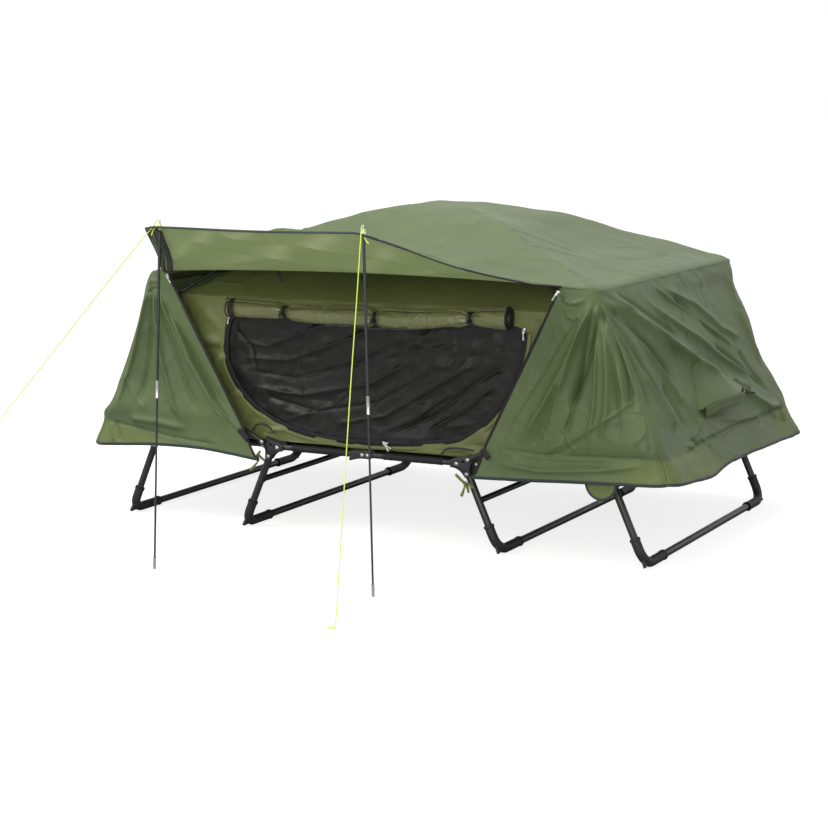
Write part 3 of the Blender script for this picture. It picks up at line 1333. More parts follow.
def build_front(side_name, side):
    """A front panel of the fly with its skirt, from the door's zip to the corner seam."""
    u, v = unit_grid(150, 150)
    top_x = EDGE_TOP_X[side_name]
    foot_x = ZIP_FOOT_X[side_name]
    zip_top_z = float(roof_height(np.array(top_x), np.array(-EAVE_Y))) - UNDER_ROOF
    hem = LEFT_HEM if side_name == "left" else RIGHT_HEM
    foot_z = float(line_at(hem, foot_x))
    zip_x = side * (top_x + (foot_x - top_x) * v)
    zip_z = zip_top_z + (foot_z - zip_top_z) * v
    zip_y = -(EAVE_Y - 0.004 + (HEM_Y - EAVE_Y) * v)
    corner_z = EAVE_Z - UNDER_ROOF + (HEM_Z - EAVE_Z) * v
    corner = corner_point(side_name, -1, corner_z)
    x = zip_x + (corner[..., 0] - zip_x) * u
    y = zip_y + (corner[..., 1] - zip_y) * u
    z = zip_z + (corner[..., 2] - zip_z) * u
    eave_z = roof_height(x, -EAVE_Y + 0 * x) - UNDER_ROOF
    near_top = np.clip(1 - v / 0.08, 0, 1) ** 2
    z = z + (eave_z - z) * near_top
    hem_z = line_at(hem, np.abs(x))
    near_hem = np.clip((v - 0.80) / 0.20, 0, 1) ** 2
    z = z + (hem_z - z) * near_hem
    settled_corner = corner_point(side_name, -1, z)
    x = x + (settled_corner[..., 0] - corner[..., 0]) * u ** 4 * (v > 0.5)
    y = y + (settled_corner[..., 1] - corner[..., 1]) * u ** 4 * (v > 0.5)
    out = folds(x, z, RIGHT_FRONT_FOLDS if side_name == "right" else LEFT_FRONT_FOLDS, 0.62, 1.45)
    out += crinkle(x, z, 46, 0.10, 0.0030, -1.1 * side, 0.7, 11 + side)
    points = np.stack([x, y, z], axis=2)
    out += ripples(points, 0.16, 0.004, 7 + side)
    seam = 0.340 if side_name == "right" else 0.315
    out += 0.012 * np.clip((seam - z) / 0.08, 0, 1) * window(u * 0.8 + 0.15)
    out *= faded(u, 0.03, 0.02) * np.clip(v / 0.03, 0, 1)
    out += corner_round(np.abs(corner[..., 0] - x)) - CORNER_CUT * (1 - u)
    points[..., 1] -= out
    edge, hem_line = points[:, 0].copy(), points[-1].copy()
    points = faced(points, (0, -1, 0))
    a, c = points[..., 0], points[..., 2]
    if side_name == "right":
        tint = seam_share(c, 0.346 - 0.10 * np.clip(0.93 - a, 0, 1))
        tint = tint * np.clip((a - 0.84) / 0.10, 0, 1)
    else:
        tint = seam_share(c, 0.331 - 0.19 * (a + 0.983)) * np.clip((-0.50 - a) / 0.12, 0, 1)
    panel = cloth_solid("front_cloth_" + side_name, points, FLY, FLY_UNDER, tint=tint)
    follow(panel, ["fly_front_" + side_name])
    band("front_hem_" + side_name, hem_line, (0, -1, 0), BINDING, *HEM_TAPE)
    build_fly_zip(side_name, side, edge)


END_FOLDS = ridges([
    (140, 120, -585, 820, -470, 690, -370, 560, -290, 430),
    (120, -80, -580, 828, -420, 750, -280, 660, -150, 560),
    (140, -100, -590, 800, -520, 640, -450, 500, -400, 380),
    (100, 80, -200, 820, -100, 760, 60, 690, 300, 560),
    (120, -90, 120, 600, 260, 520, 420, 400),
    (140, 80, 480, 800, 440, 640, 480, 480),
    (300, 240, -560, 815, -455, 770, -359, 712, -240, 645, -91, 575, 60, 505),
    (140, -80, -500, 822, -380, 770, -250, 700, -130, 640),
    (260, -180, -570, 790, -470, 700, -380, 620, -280, 530),
    (180, 120, -300, 790, -222, 730, 17, 625, 177, 535, 379, 450),
    (200, 100, -130, 800, 81, 733, 223, 640, 371, 586),
    (140, -80, -80, 780, 60, 690, 220, 590),
    (60, 30, 235, 815, 200, 740, 162, 674),
    (40, -40, 34, 822, -17, 743, -75, 668, -87, 560, -178, 453),
    (200, 160, 80, 510, 230, 430, 359, 372, 480, 352),
    (100, 80, -197, 413, -270, 392, -337, 368),
    (140, 80, -135, 404, 53, 368, 300, 352),
    (70, -80, -482, 335, -336, 345, -208, 347, 79, 350, 317, 348, 559, 350),
    (60, 70, -420, 362, -370, 350, -330, 330),
    (60, -70, -360, 372, -310, 350, -290, 325),
    (60, 70, -280, 366, -250, 350, -225, 328),
    (60, 60, -180, 366, -150, 350, -140, 328),
    (70, 60, 180, 372, 220, 352, 230, 330),
    (70, 70, 340, 376, 370, 352, 372, 320),
    (80, 80, 440, 372, 460, 345, 455, 300),
    (160, -120, -596, 770, -560, 660, -540, 550, -560, 450),
    (200, 100, -520, 600, -470, 500, -440, 400),
    (200, -100, -400, 540, -360, 450, -340, 390),
    (160, 80, -300, 500, -270, 430, -260, 380),
    (160, 60, 420, 700, 440, 580, 460, 460),
    (120, -80, 300, 560, 350, 480, 400, 420),
])


def eave_seam(name, line, facing):
    """The felled seam sewn along an edge of the roof, drawn in a little by its stitches."""
    line = lifted(line, facing, 0.0022)
    line = line + np.array(facing) * (0.0008 * np.sin(np.arange(len(line)) * 1.9))[:, None]
    band(name, line, facing, FLY, 0.009, EDGE_TAPE)


END_PANELS = {}               # the end panels' points, for what is sewn on them


def build_end(side_name, side):
    u, v = unit_grid(150, 140)

    def between_corners(z):
        near, far = corner_point(side_name, -1, z), corner_point(side_name, 1, z)
        return (near[..., 1], far[..., 1], near[..., 0] + (far[..., 0] - near[..., 0]) * u,
                near[..., 1] + (far[..., 1] - near[..., 1]) * u)

    z = EAVE_Z - UNDER_ROOF + (HEM_Z - EAVE_Z) * v
    near_y, far_y, x, y = between_corners(z)
    hem_z = line_at(END_HEM if side_name == "right" else LEFT_END_HEM, y)
    z = z + (hem_z - z) * np.clip((v - 0.80) / 0.20, 0, 1) ** 2
    near_y, far_y, x, y = between_corners(z)
    out = folds(y * side, z, END_FOLDS, 0.62, 1.40)
    out += crinkle(y, z, 90, 0.10, 0.0030, -0.8, 0.9, 21)
    points = np.stack([x, y, z], axis=2)
    out += ripples(points, 0.15, 0.004, 15 + side)
    out += 0.010 * np.clip((SKIRT_SEAM_Z - z) / 0.08, 0, 1) - 0.012 * window(u) * window(v * 0.9)
    out *= faded(u, 0.02, 0.02) * np.clip(v / 0.03, 0, 1)
    out += corner_round(np.minimum(np.abs(y - near_y), np.abs(far_y - y)))
    points[..., 0] += side * out
    END_PANELS[side_name] = points.reshape(-1, 3).copy()
    hem_line = points[-1].copy()
    points = faced(points, (side, 0, 0))
    b, c = points[..., 1], points[..., 2]
    tint = seam_share(c, SKIRT_SEAM_Z)
    if side_name == "right":
        tint = tint * np.maximum(np.clip((-0.26 + 1.2 * (SKIRT_SEAM_Z - c) - b) / 0.12, 0, 1),
                                 np.clip((b - 0.30) / 0.10, 0, 1))
    panel = cloth_solid("end_cloth_" + side_name, points, FLY, FLY_UNDER, tint=tint)
    band("end_hem_" + side_name, hem_line, (side, 0, 0), BINDING, *HEM_TAPE)
    follow(panel, ["fly_end_" + side_name])


def build_back():
    """The back panel of the fly with its skirt, between the two corner seams."""
    columns, rows = 190, 80
    u, v = np.meshgrid(np.linspace(-1, 1, columns + 1), np.linspace(0, 1, rows + 1))
    z = EAVE_Z - UNDER_ROOF + (HEM_Z - EAVE_Z) * v
    left = corner_point("left", 1, z)
    right = corner_point("right", 1, z)
    share = (u + 1) / 2
    x = left[..., 0] + (right[..., 0] - left[..., 0]) * share
    flat_y = EAVE_Y - UNDER_ROOF + (HEM_Y - EAVE_Y) * v
    y = left[..., 1] + (flat_y - left[..., 1]) * (1 - np.abs(u) ** 12)
    table = []
    for k in range(9):
        at = -0.72 + 0.18 * k
        lean = 0.12 * math.sin(2.3 * k)
        table.append(([(at, 0.80), (at + lean / 2, 0.58), (at + lean, 0.37)], 0.026,
                      0.011 * (1 if k % 2 else -1)))
    table.append(([(-0.98, 0.345), (-0.4, 0.350), (0.2, 0.344), (1.0, 0.349)], 0.006, -0.004))
    table.append(([(-0.75, 0.82), (-0.60, 0.60), (-0.30, 0.45)], 0.020, 0.014))
    table.append(([(0.75, 0.82), (0.62, 0.62), (0.38, 0.42)], 0.020, 0.014))
    points = np.stack([x, y, z], axis=2)
    out = folds(x, z, table) + ripples(points, 0.17, 0.004, 22)
    out += 0.010 * np.clip((SKIRT_SEAM_Z - z) / 0.08, 0, 1)
    out *= faded(share, 0.02, 0.02) * np.clip(v / 0.03, 0, 1)
    out += corner_round(np.minimum(np.abs(x - left[..., 0]), np.abs(right[..., 0] - x)))
    points[..., 1] += out
    hem_line = points[-1].copy()
    points = faced(points, (0, 1, 0))
    panel = cloth_solid("back_cloth", points, FLY, FLY_UNDER)
    band("back_hem", hem_line, (0, 1, 0), BINDING, *HEM_TAPE)
    follow(panel, ["fly_back"])


AWNING_FOLDS = ridges([
    (300, 100, -300, -1150, 0, -1020, 300, -800, 500, -660),
    (260, -80, -340, -1100, -100, -980, 150, -800, 360, -640),
    (180, -90, -200, -1160, 100, -1080, 320, -960, 520, -740),
    (160, 100, 0, -1170, 200, -1120, 340, -1020, 500, -840),
    (300, 80, -360, -1050, -260, -900, -100, -740, 100, -640),
    (220, -80, -450, -980, -500, -840, -520, -700),
    (240, 70, -550, -860, -420, -760, -200, -660),
    (120, 50, 200, -680, 360, -660, 520, -660),
])


def awning_grid():
    """The raised door panel: v runs from the eave to its front edge."""
    u, v = unit_grid(150, 100)
    x_back = -EDGE_TOP_X["left"] + (EDGE_TOP_X["right"] + EDGE_TOP_X["left"]) * u
    z_back = roof_height(x_back, -EAVE_Y + 0 * u)
    x_front = AWNING_X["left"] + (AWNING_X["right"] - AWNING_X["left"]) * u
    z_front = AWNING_Z - 0.004 * window(u)
    x = x_back + (x_front - x_back) * v - (u - 0.5) * window(v) * 0.024
    y = -EAVE_Y - 0.001 + (-AWNING_Y + EAVE_Y + 0.001) * v
    z = z_back + (z_front - z_back) * v - 0.012 * window(v) * (1 + window(u))
    out = 1.7 * folds(x, y, AWNING_FOLDS) + crinkle(x, y, 40, 0.16, 0.0022, 0.6, 0.5, 41)
    points = np.stack([x, y, z], axis=2)
    out += ripples(points, 0.20, 0.0035, 31)
    out *= faded(u, 0.04, 0.04)
    out *= faded(v, 0.04, 0.04)
    points[..., 2] += out
    curl = np.exp(-((1 - u) / 0.030) ** 2) * np.clip(v / 0.15, 0, 1)
    points[..., 2] -= 0.014 * curl * (1 - 0.4 * v)
    return points


def build_awning():
    grid = awning_grid()
    points = faced(grid, (0, 0, 1))
    x, y = grid[..., 0], grid[..., 1]
    streak = np.clip(folds(x, y, AWNING_FOLDS, 1.2) / 0.010, 0, 1) * 0.85
    streak += 0.35 * np.clip((-y - 0.95) / 0.22, 0, 1) * np.clip((0.1 - x) / 0.4, 0, 1)
    panel = cloth_solid("awning_cloth", points, AWNING, FLY_UNDER, tint=streak)
    build_awning_trim(grid)
    follow(panel, ["awning_panel"])


# Lines on cloth: bindings, zips and seams

def smooth_route(points, steps=4):
    points = [Vector(p) for p in points]
    padded = [2 * points[0] - points[1]] + points + [2 * points[-1] - points[-2]]
    smooth = []
    for p0, p1, p2, p3 in zip(padded, padded[1:], padded[2:], padded[3:]):
        for k in range(steps):
            t = k / steps
            smooth.append(0.5 * (2 * p1 + (p2 - p0) * t + (2 * p0 - 5 * p1 + 4 * p2 - p3) * t * t
                                 + (3 * p1 - p0 - 3 * p2 + p3) * t ** 3))
    return smooth + [points[-1]]


def loop_through(points, count):
    """A closed smooth curve in a plane through some points, at equal steps."""
    flat = [(a, b, 0) for a, b in points]
    curve = smooth_route(flat[-2:] + flat + flat[:2], 12)[24:24 + 12 * len(flat) + 1]
    curve = np.array(curve)[:, :2]
    runs = np.concatenate([[0], np.cumsum(np.hypot(*np.diff(curve, axis=0).T))])
    at = np.linspace(0, runs[-1], count, endpoint=False)
    return np.stack([np.interp(at, runs, curve[:, 0]), np.interp(at, runs, curve[:, 1])], axis=1)


def band(name, line, facing, material, width, thickness=0.0022, slot="fly_cloth"):
    """A flat band along a line of points; facing is one direction or one for each point."""
    line = np.asarray(line, float)
    ways = np.broadcast_to(np.asarray(facing, float), line.shape)
    made = grown(name, BAND_TREE, line, ways, material, Width=width, Thickness=thickness)
    follow(made)


def teeth(name, line, facing, pitch):
    """A zip's teeth along a line of points."""
    ways = np.broadcast_to(np.asarray(facing, float), line.shape)
    made = grown(name, ALONG_TREE, line, ways, NYLON, Pitch=pitch, Length=pitch * 0.62,
                 Width=0.005, Height=0.0022)
    follow(made)


def lifted(line, facing, height):
    """A line moved off its cloth by a height."""
    return np.asarray(line, float) + np.asarray(facing, float) * height


def slider_parts(base, run, out, size, pulls):
    """A zip slider: a waisted body with a bridge, and its pulls."""
    base, run, out = Vector(base), Vector(run).normalized(), Vector(out).normalized()
    across = run.cross(out).normalized()

    def slab(start, length, wide, narrow, low, depth):
        outline = [(0, -wide), (0.25, -wide), (0.6, -narrow), (1, -narrow), (1, narrow),
                   (0.6, narrow), (0.25, wide), (0, wide)]
        points = [base + run * size * (start + a * length) + across * size * b + out * size * low
                  for a, b in outline]
        return softened(prism("slab", points, out * depth * size), 0.0006 * size)

    parts = [slab(0, 0.020, 0.0062, 0.0044, -0.0010, 0.0060),
             slab(0.003, 0.012, 0.0022, 0.0020, 0.0048, 0.0040)]
    for lean, turn in pulls:
        way = (run + across * turn).normalized()
        side = way.cross(out).normalized()
        hang = base + run * 0.010 * size + out * 0.0075 * size
        outline = [(0, -0.0030), (0.006, -0.0036), (0.012, -0.0022), (0.024, -0.0034),
                   (0.030, -0.0034), (0.030, 0.0034), (0.024, 0.0034), (0.012, 0.0022),
                   (0.006, 0.0036), (0, 0.0030)]
        points = [hang + way * a * size + side * b * size + out * lean * 0.002 * size
                  for a, b in outline]
        parts.append(softened(prism("pull", points, out * 0.0020 * size), 0.0005 * size))
    return parts


# Inner tent

INNER_TOP_X = 0.722
INNER_TOP_Z = 0.757
INNER_FOOT_X = 0.985
INNER_FOOT_Z = 0.294
INNER_LAP = 0.0026             # how far the end walls stand inside the front and the back
NET_FOOT_Z = 0.310
DOOR_EDGE = places(-500, 705, -525, 648, -528, 549, -477, 453, -382, 377, -250, 331, -102, 314,
                   62, 317, 257, 334, 361, 367, 464, 467, 521, 578, 542, 670, 534, 702, 470, 712,
                   300, 715, 0, 700, -300, 708, -470, 714)
WALL_FOLDS = ridges([
    (160, 120, -720, 680, -630, 615, -535, 600),
    (120, -100, -690, 560, -610, 585, -535, 590),
    (140, 110, -640, 470, -580, 530, -535, 575),
    (120, 50, -640, 740, -590, 690, -545, 640),
    (120, 80, -560, 400, -500, 440, -470, 430),
    (100, -70, -470, 330, -440, 360, -400, 370),
    (100, 70, -400, 305, -360, 330, -300, 335),
    (80, -60, -450, 300, -400, 320, -350, 315),
    (120, 80, 620, 740, 600, 640, 565, 560),
    (80, -70, 590, 740, 580, 680, 560, 620),
    (120, 80, 560, 470, 500, 400, 430, 350),
    (100, -60, 480, 340, 420, 330, 360, 335),
    (80, 60, 400, 300, 340, 320, 280, 312),
])
MESH_FOLDS = ridges([
    (160, 70, -500, 620, -380, 600, -220, 660, -50, 720),
    (140, 80, -480, 560, -300, 560, -100, 630, 50, 690),
    (120, -70, -460, 520, -280, 500, -50, 560, 120, 640),
    (140, 80, -450, 470, -250, 450, 0, 500, 180, 600),
    (100, -60, -400, 440, -200, 400, 20, 440, 200, 540),
    (120, 70, -150, 360, 50, 400, 220, 500, 400, 600),
    (90, 60, 20, 340, 160, 400, 300, 500),
    (120, -70, 80, 340, 240, 420, 380, 530, 500, 600),
    (100, 70, 200, 360, 340, 440, 460, 540),
    (100, 50, -320, 360, -140, 420, -20, 520),
    (100, -60, -500, 660, -440, 600, -420, 520),
    (80, 40, 300, 700, 300, 620, 270, 560),
    (70, 40, 360, 620, 320, 560, 340, 500),
    (120, 40, 100, 660, 220, 620, 360, 660),
])


def ring_solid(name, points, outer, inner):
    """A closed collar of cloth whose rows run round an opening."""
    wide = points.shape[1]
    rows = points.shape[0] - 1
    around = (np.roll(points, -1, axis=1) - np.roll(points, 1, axis=1)) / 2
    normal = np.cross(around, np.gradient(points, axis=0))
    normal /= np.maximum(np.linalg.norm(normal, axis=2, keepdims=True), 1e-12)
    if normal[..., 1].mean() > 0:
        normal = -normal
    normal = normal * CLOTH / 2
    count = wide * (rows + 1)
    vertices = np.concatenate([(points + normal).reshape(-1, 3), (points - normal).reshape(-1, 3)])
    faces = []
    for j in range(rows):
        for i in range(wide):
            n = (i + 1) % wide
            quad = [j * wide + i, j * wide + n, (j + 1) * wide + n, (j + 1) * wide + i]
            faces.append(quad)
            faces.append([count + k for k in quad[::-1]])
    for start in (0, rows * wide):
        for i in range(wide):
            n = (i + 1) % wide
            faces.append([start + i, start + n, count + start + n, count + start + i])
    made = make_object(name, vertices.tolist(), faces, outer, angle=60)
    made.data.materials.append(inner)
    return made


def door_wall_points():
    """The front wall as rows of points from the door's edge out to the wall's edge."""
    rows = 34
    hole = loop_through(DOOR_EDGE, 300)
    middle = 0.545
    lean = (INNER_FOOT_X - INNER_TOP_X) / (INNER_TOP_Z - INNER_FOOT_Z)
    side_at_middle = INNER_FOOT_X - lean * (middle - INNER_FOOT_Z)
    dx, dz = hole[:, 0], hole[:, 1] - middle
    with np.errstate(divide="ignore", invalid="ignore"):
        up = np.where(dz > 1e-6, (INNER_TOP_Z - middle) / dz, 99)
        up = np.where(dz < -1e-6, (INNER_FOOT_Z - middle) / dz, up)
        out = side_at_middle / np.maximum(np.abs(dx) + lean * dz, 1e-6)
    out = np.where(np.abs(dx) + lean * dz > 1e-6, out, 99)
    reach = np.minimum(up, out)
    outer = np.stack([dx * reach, middle + dz * reach], axis=1)
    for side in (1, -1):
        for corner in ((side * INNER_FOOT_X, INNER_FOOT_Z), (side * INNER_TOP_X, INNER_TOP_Z)):
            outer[np.argmin(np.hypot(*(outer - corner).T))] = corner
    share = np.linspace(0, 1, rows + 1)[:, None, None]
    flat = hole[None] + (outer - hole)[None] * share
    x, z = flat[..., 0], flat[..., 1]
    points = np.stack([x, np.full_like(x, -WALL_Y), z], axis=2)
    out = folds(x, z, WALL_FOLDS, 0.9, 1.3) + ripples(points, 0.14, 0.006, 41)
    out += crinkle(x, z, 150, 0.09, 0.0036, 1.3, 0.8, 43) * (np.abs(z - 0.5) < 0.25)
    edge = np.clip((1 - share[..., 0]) / 0.10, 0, 1)
    points[..., 1] -= out * edge * np.clip(share[..., 0] / 0.05 + 0.15, 0, 1)
    return points


def build_inner_front():
    points = door_wall_points()
    wall = ring_solid("inner_front", points, INNER, INNER)
    follow(wall, ["inner_wall_front"])
    edge = points[0]
    first = int(np.argmin(np.hypot(edge[:, 0] + 0.512, edge[:, 2] - 0.694)))
    edge = np.roll(edge, -first, axis=0)
    last = int(np.argmin(np.hypot(edge[:, 0] - 0.540, edge[:, 2] - 0.690)))
    line = edge[:last + 1] if edge[5, 2] < edge[0, 2] else edge[::-1][:last + 1]
    front = np.array((0, -1, 0))
    band("door_zip_tape", lifted(line, front, 0.0014), front, WEBBING, 0.018, TAPE, "net")
    teeth("door_zip_teeth", lifted(line, front, 0.0026), front, ZIP_PITCH)
    along = np.gradient(line, axis=0)
    beside = np.cross(along, front)
    beside /= np.linalg.norm(beside, axis=1, keepdims=True)
    if beside[len(beside) // 2, 2] > 0:
        beside = -beside
    band("door_zip_flap", lifted(line + beside * 0.016, front, 0.0016), front, INNER, 0.012, 0.004,
         "inner_cloth")
    for name, at, run, pulls in (("left", 0, (-0.15, 0, -1), ((1, 0.1),)),
                                 ("right", len(line) - 1, (0, 0, -1), ((1, -0.05),)),
                                 ("middle", int(len(line) * 0.537), (1, 0, 0),
                                  ((1, 1.6), (1.5, 0.6)))):
        base = line[at] + front * 0.004 - np.array(run) * (0.014 if name != "middle" else 0)
        made = joined("door_slider_" + name, slider_parts(base, run, front, 0.92, pulls))
        follow(refinished(made, CHROME))


def build_door_mesh():
    rows, columns = 120, 260
    hole = loop_through(DOOR_EDGE, 400)
    z = np.linspace(NET_FOOT_Z, 0.742, rows + 1)
    low = []
    high = []
    for height in z:
        inside = hole[np.abs(hole[:, 1] - height) < 0.006]
        inside = hole[np.argsort(np.abs(hole[:, 1] - height))[:8]] if len(inside) < 2 else inside
        low.append(inside[:, 0].min() - 0.006)
        high.append(inside[:, 0].max() + 0.006)
    low = np.convolve(np.pad(low, 3, "edge"), np.ones(7) / 7, "valid")
    high = np.convolve(np.pad(high, 3, "edge"), np.ones(7) / 7, "valid")
    u = np.linspace(0, 1, columns + 1)[None, :]
    x = low[:, None] + (high - low)[:, None] * u
    zz = np.repeat(z[:, None], columns + 1, axis=1)
    points = np.stack([x, np.full_like(x, -WALL_Y + 0.004), zz], axis=2)
    out = folds(x, zz, MESH_FOLDS, 0.6, 1.1) + ripples(points, 0.12, 0.006, 51)
    out += crinkle(x, zz, 190, 0.11, 0.0060, 0.55, 0.7, 53)
    inside = faded(u, 0.06, 0.06) * np.clip((zz - NET_FOOT_Z) / 0.03, 0, 1)
    points[..., 1] -= out * inside - 0.016 * window(u) * window((zz - NET_FOOT_Z) / 0.44)
    net = cloth_solid("door_net", faced(points, (0, -1, 0)), NET, NET, 0.0008)
    follow(net, ["door_mesh"])


ROLL_LINE = places(-492, 724, -313, 722, -150, 716, 19, 717, 180, 717, 342, 730, 508, 734)
ROLL_TIES = (-0.276, 0.054, 0.384)
ROLL_Y = -WALL_Y - 0.037
ROLL_TURNS = 2.6
ROLL_CORE_R = 0.0090
ROLL_GROWTH = 0.0215


def build_door_roll():
    """The solid half of the door as one spiral of cloth, drawn in by its toggles."""
    along = np.linspace(ROLL_LINE[0][0], ROLL_LINE[-1][0], 261)
    turn = np.linspace(0, 2 * math.pi * ROLL_TURNS, 131)
    x = along[:, None] + 0 * turn[None, :]
    z0 = line_at(ROLL_LINE, x)
    pinch = np.zeros_like(x)
    for tie in ROLL_TIES:
        pinch = np.maximum(pinch, np.exp(-((x - tie) / 0.022) ** 2))
    t = turn[None, :] + 0 * x
    size = ROLL_CORE_R + ROLL_GROWTH * (t / turn[-1]) ** 0.8
    fuller = 0.22 * (x > 0.4) * (x - 0.4) / 0.1
    size = size * (1 - 0.46 * pinch) * (1 + 0.12 * np.sin(x * 9 + 1.1) + fuller)
    near_tie = np.zeros_like(x)
    for tie in ROLL_TIES:
        near_tie = np.maximum(near_tie, np.exp(-np.abs(x - tie) / 0.050))
    gather = np.sin(7 * t + 3 * np.sin(22 * x)) * near_tie
    crease = crinkle(x, t * 0.024, 70, 0.075, 0.0042, 0.3, 0.8, 8)
    size = size + (0.0022 * gather + crease) * (t > turn[-1] - 2 * math.pi * 1.1)
    phase = t - turn[-1] + 2.2
    y = ROLL_Y + size * np.cos(phase)
    points = np.stack([x, y, z0 + size * 1.06 * np.sin(phase) - 0.004 * pinch], axis=2)
    outer_way = np.stack([0 * x, np.cos(phase), np.sin(phase)], axis=2)
    if (normals_of(points) * outer_way).sum(axis=2).mean() < 0:
        points = points[:, ::-1]
    roll = cloth_solid("door_roll", points, ROLLED, ROLLED)
    follow(roll, ["door_flap_roll"])
    angles = [2 * math.pi * s / 32 for s in range(33)]
    ways = [(0, math.cos(a), math.sin(a)) for a in angles]
    for k, tie in enumerate(ROLL_TIES):
        place = Vector((tie, ROLL_Y, float(line_at(ROLL_LINE, np.array(tie)))))
        loop = [place + Vector((0.002 * math.sin(2 * a), 0.0175 * math.cos(a),
                                0.0185 * math.sin(a))) for a in angles]
        strap = grown("tie_strap", BAND_TREE, loop, ways, WEBBING, Width=0.012, Thickness=TAPE)
        front = place + Vector((0.001, -0.0195, 0.004))
        peg = turned("tie_peg", front + Vector((-0.003, 0, 0.016)),
                     [(0, 0.0022), (0.004, 0.0042), (0.030, 0.0046), (0.036, 0.0026)],
                     axis=(-0.28 + 0.1 * k, -0.12, -1), sides=20, material=NYLON)
        end = [front + Vector(p) for p in ((0, 0, -0.010), (0.003, -0.003, -0.018),
                                           (0.008, -0.002, -0.028))]
        tail = grown("tie_tail", BAND_TREE, end, [(0, -1, 0)] * 3, WEBBING, Width=0.010,
                     Thickness=TAPE)
        tie_piece = joined("door_tie_%d" % k, [strap, peg, tail])
        follow(tie_piece)
    band("roll_end_tape", points[0, ::3], (-1, 0, 0), WEBBING, 0.004, 0.006, "net")
    band("roll_far_tape", points[-1, ::3], (1, 0, 0), WEBBING, 0.004, 0.006, "net")
    collar = [(-0.470, ROLL_Y + 0.0315 * math.cos(a), 0.724 + 0.0325 * math.sin(a))
              for a in angles]
    band("roll_edge_tape", collar, ways, WEBBING, 0.020, TAPE, "net")
    seam = [(x, -WALL_Y - 0.056, float(line_at(ROLL_LINE, np.array(x))) - 0.028
             - 0.004 * math.sin(30 * x)) for x in np.linspace(-0.12, 0.17, 40)]
    band("roll_hem_tape", seam, (0, -1, -0.3), BINDING, 0.006, 0.003, "net")


def flat_panel(name, corners, towards, finish, columns, rows, wave, seed):
    """A flat cloth between four corners: top left, top right, foot left, foot right."""
    u, v = unit_grid(columns, rows)
    a, b, c, d = (np.array(p, float) for p in corners)
    u3, v3 = u[..., None], v[..., None]
    points = (a * (1 - u3) + b * u3) * (1 - v3) + (c * (1 - u3) + d * u3) * v3
    out = ripples(points, 0.16, wave, seed)
    out *= faded(u, 0.05, 0.05)
    out *= faded(v, 0.06, 0.06)
    points += out[..., None] * np.array(towards, float)
    return cloth_solid(name, faced(points, towards), finish, finish)


def build_inner_tent():
    build_inner_front()
    build_door_mesh()
    build_door_roll()
    top, foot, near, high = INNER_TOP_X, INNER_FOOT_X, WALL_Y, INNER_TOP_Z - 0.001
    low = INNER_FOOT_Z
    back = flat_panel("inner_back", [(-top, near, high), (top, near, high), (-foot, near, low),
                                     (foot, near, low)], (0, 1, 0), INNER, 90, 40, 0.004, 61)
    follow(back, ["inner_wall_back"])
    for side_name, side in SIDES:
        y = near - INNER_LAP
        corners = [(side * (x - INNER_LAP), depth * y, z)
                   for x, z in ((top, high), (foot, low)) for depth in (-1, 1)]
        wall = flat_panel("inner_end_" + side_name, corners, (side, 0, 0), INNER, 60, 40, 0.003,
                          63 + side)
        follow(wall, ["inner_wall_" + side_name])
    steps = 80
    share = np.linspace(-1, 1, steps + 1)
    along, across = np.meshgrid(share, share, indexing="ij")
    x, y = top * across, near * along
    ring = np.maximum(np.abs(across), np.abs(along))
    even = np.minimum(np.abs(across), np.abs(along)) / np.maximum(ring, 1e-9)
    z = 1.016 - (1.018 - INNER_TOP_Z) * ring ** 1.5 - 0.014 * (1 - even * even) * window(ring)
    points = np.stack([x, y, z], axis=2)
    points[..., 2] += ripples(points, 0.2, 0.004, 71) * np.clip((1 - ring) / 0.1, 0, 1) - 0.003
    canopy = cloth_solid("inner_canopy", faced(points, (0, 0, 1)), INNER, INNER)
    follow(canopy, ["inner_roof"])


# Roof poles

def build_roof_poles():
    for name, hand, drop in (("roof_pole_a", 1, 0), ("roof_pole_b", -1, 2 * ROOF_POLE_R + GAP)):
        path = roof_pole_points(hand, drop)
        rod = tube(name + "_rod", path, ROOF_POLE_R, FIBRE, sides=16)
        follow(rod, [name])
        sleeves = []
        for k in (12, 24, 36, 48, 60, 72):
            a, b = Vector(path[k]), Vector(path[k + 1])
            middle = (a + b) / 2
            way = (b - a).normalized()
            sleeves.append(tube("joint", [middle - way * 0.012, middle + way * 0.012],
                                ROOF_POLE_R + 0.0003, STEEL, sides=16))
        follow(joined(name + "_joints", sleeves))


# Bed cloth

def sleeve(name, start, end, out):
    """A gathered sleeve of cloth round a bar, with a seam along its under side."""
    start, end = Vector(start), Vector(end)
    steps = max(8, int((end - start).length / 0.006))
    path = [start.lerp(end, k / steps) for k in range(steps + 1)]
    radius = RAIL_R + TAPE
    radii = [radius + 0.0004 * math.sin(k * 1.9) * math.sin(k * 0.53) for k in range(steps + 1)]
    for k in (0, 1, steps - 1, steps):
        radii[k] = RAIL_R + 0.0020
    return tube(name, path, radius, BED, sides=20, radii=radii, up=out)


def bed_panel(name, outline_low, outline_high, sag, seed):
    """A taut cloth deck between two edges at rail height."""
    u, v = unit_grid(60, 60)
    x0, y0 = outline_low
    x1, y1 = outline_high
    x = x0 + (x1 - x0) * u
    y = y0 + (y1 - y0) * v
    points = np.stack([x, y, np.full_like(x, RAIL_Z)], axis=2)
    points[..., 2] += (ripples(points, 0.2, 0.003, seed) - sag) * window(u) * window(v)
    return cloth_solid(name, faced(points, (0, 0, 1)), BED, BED, TAPE)


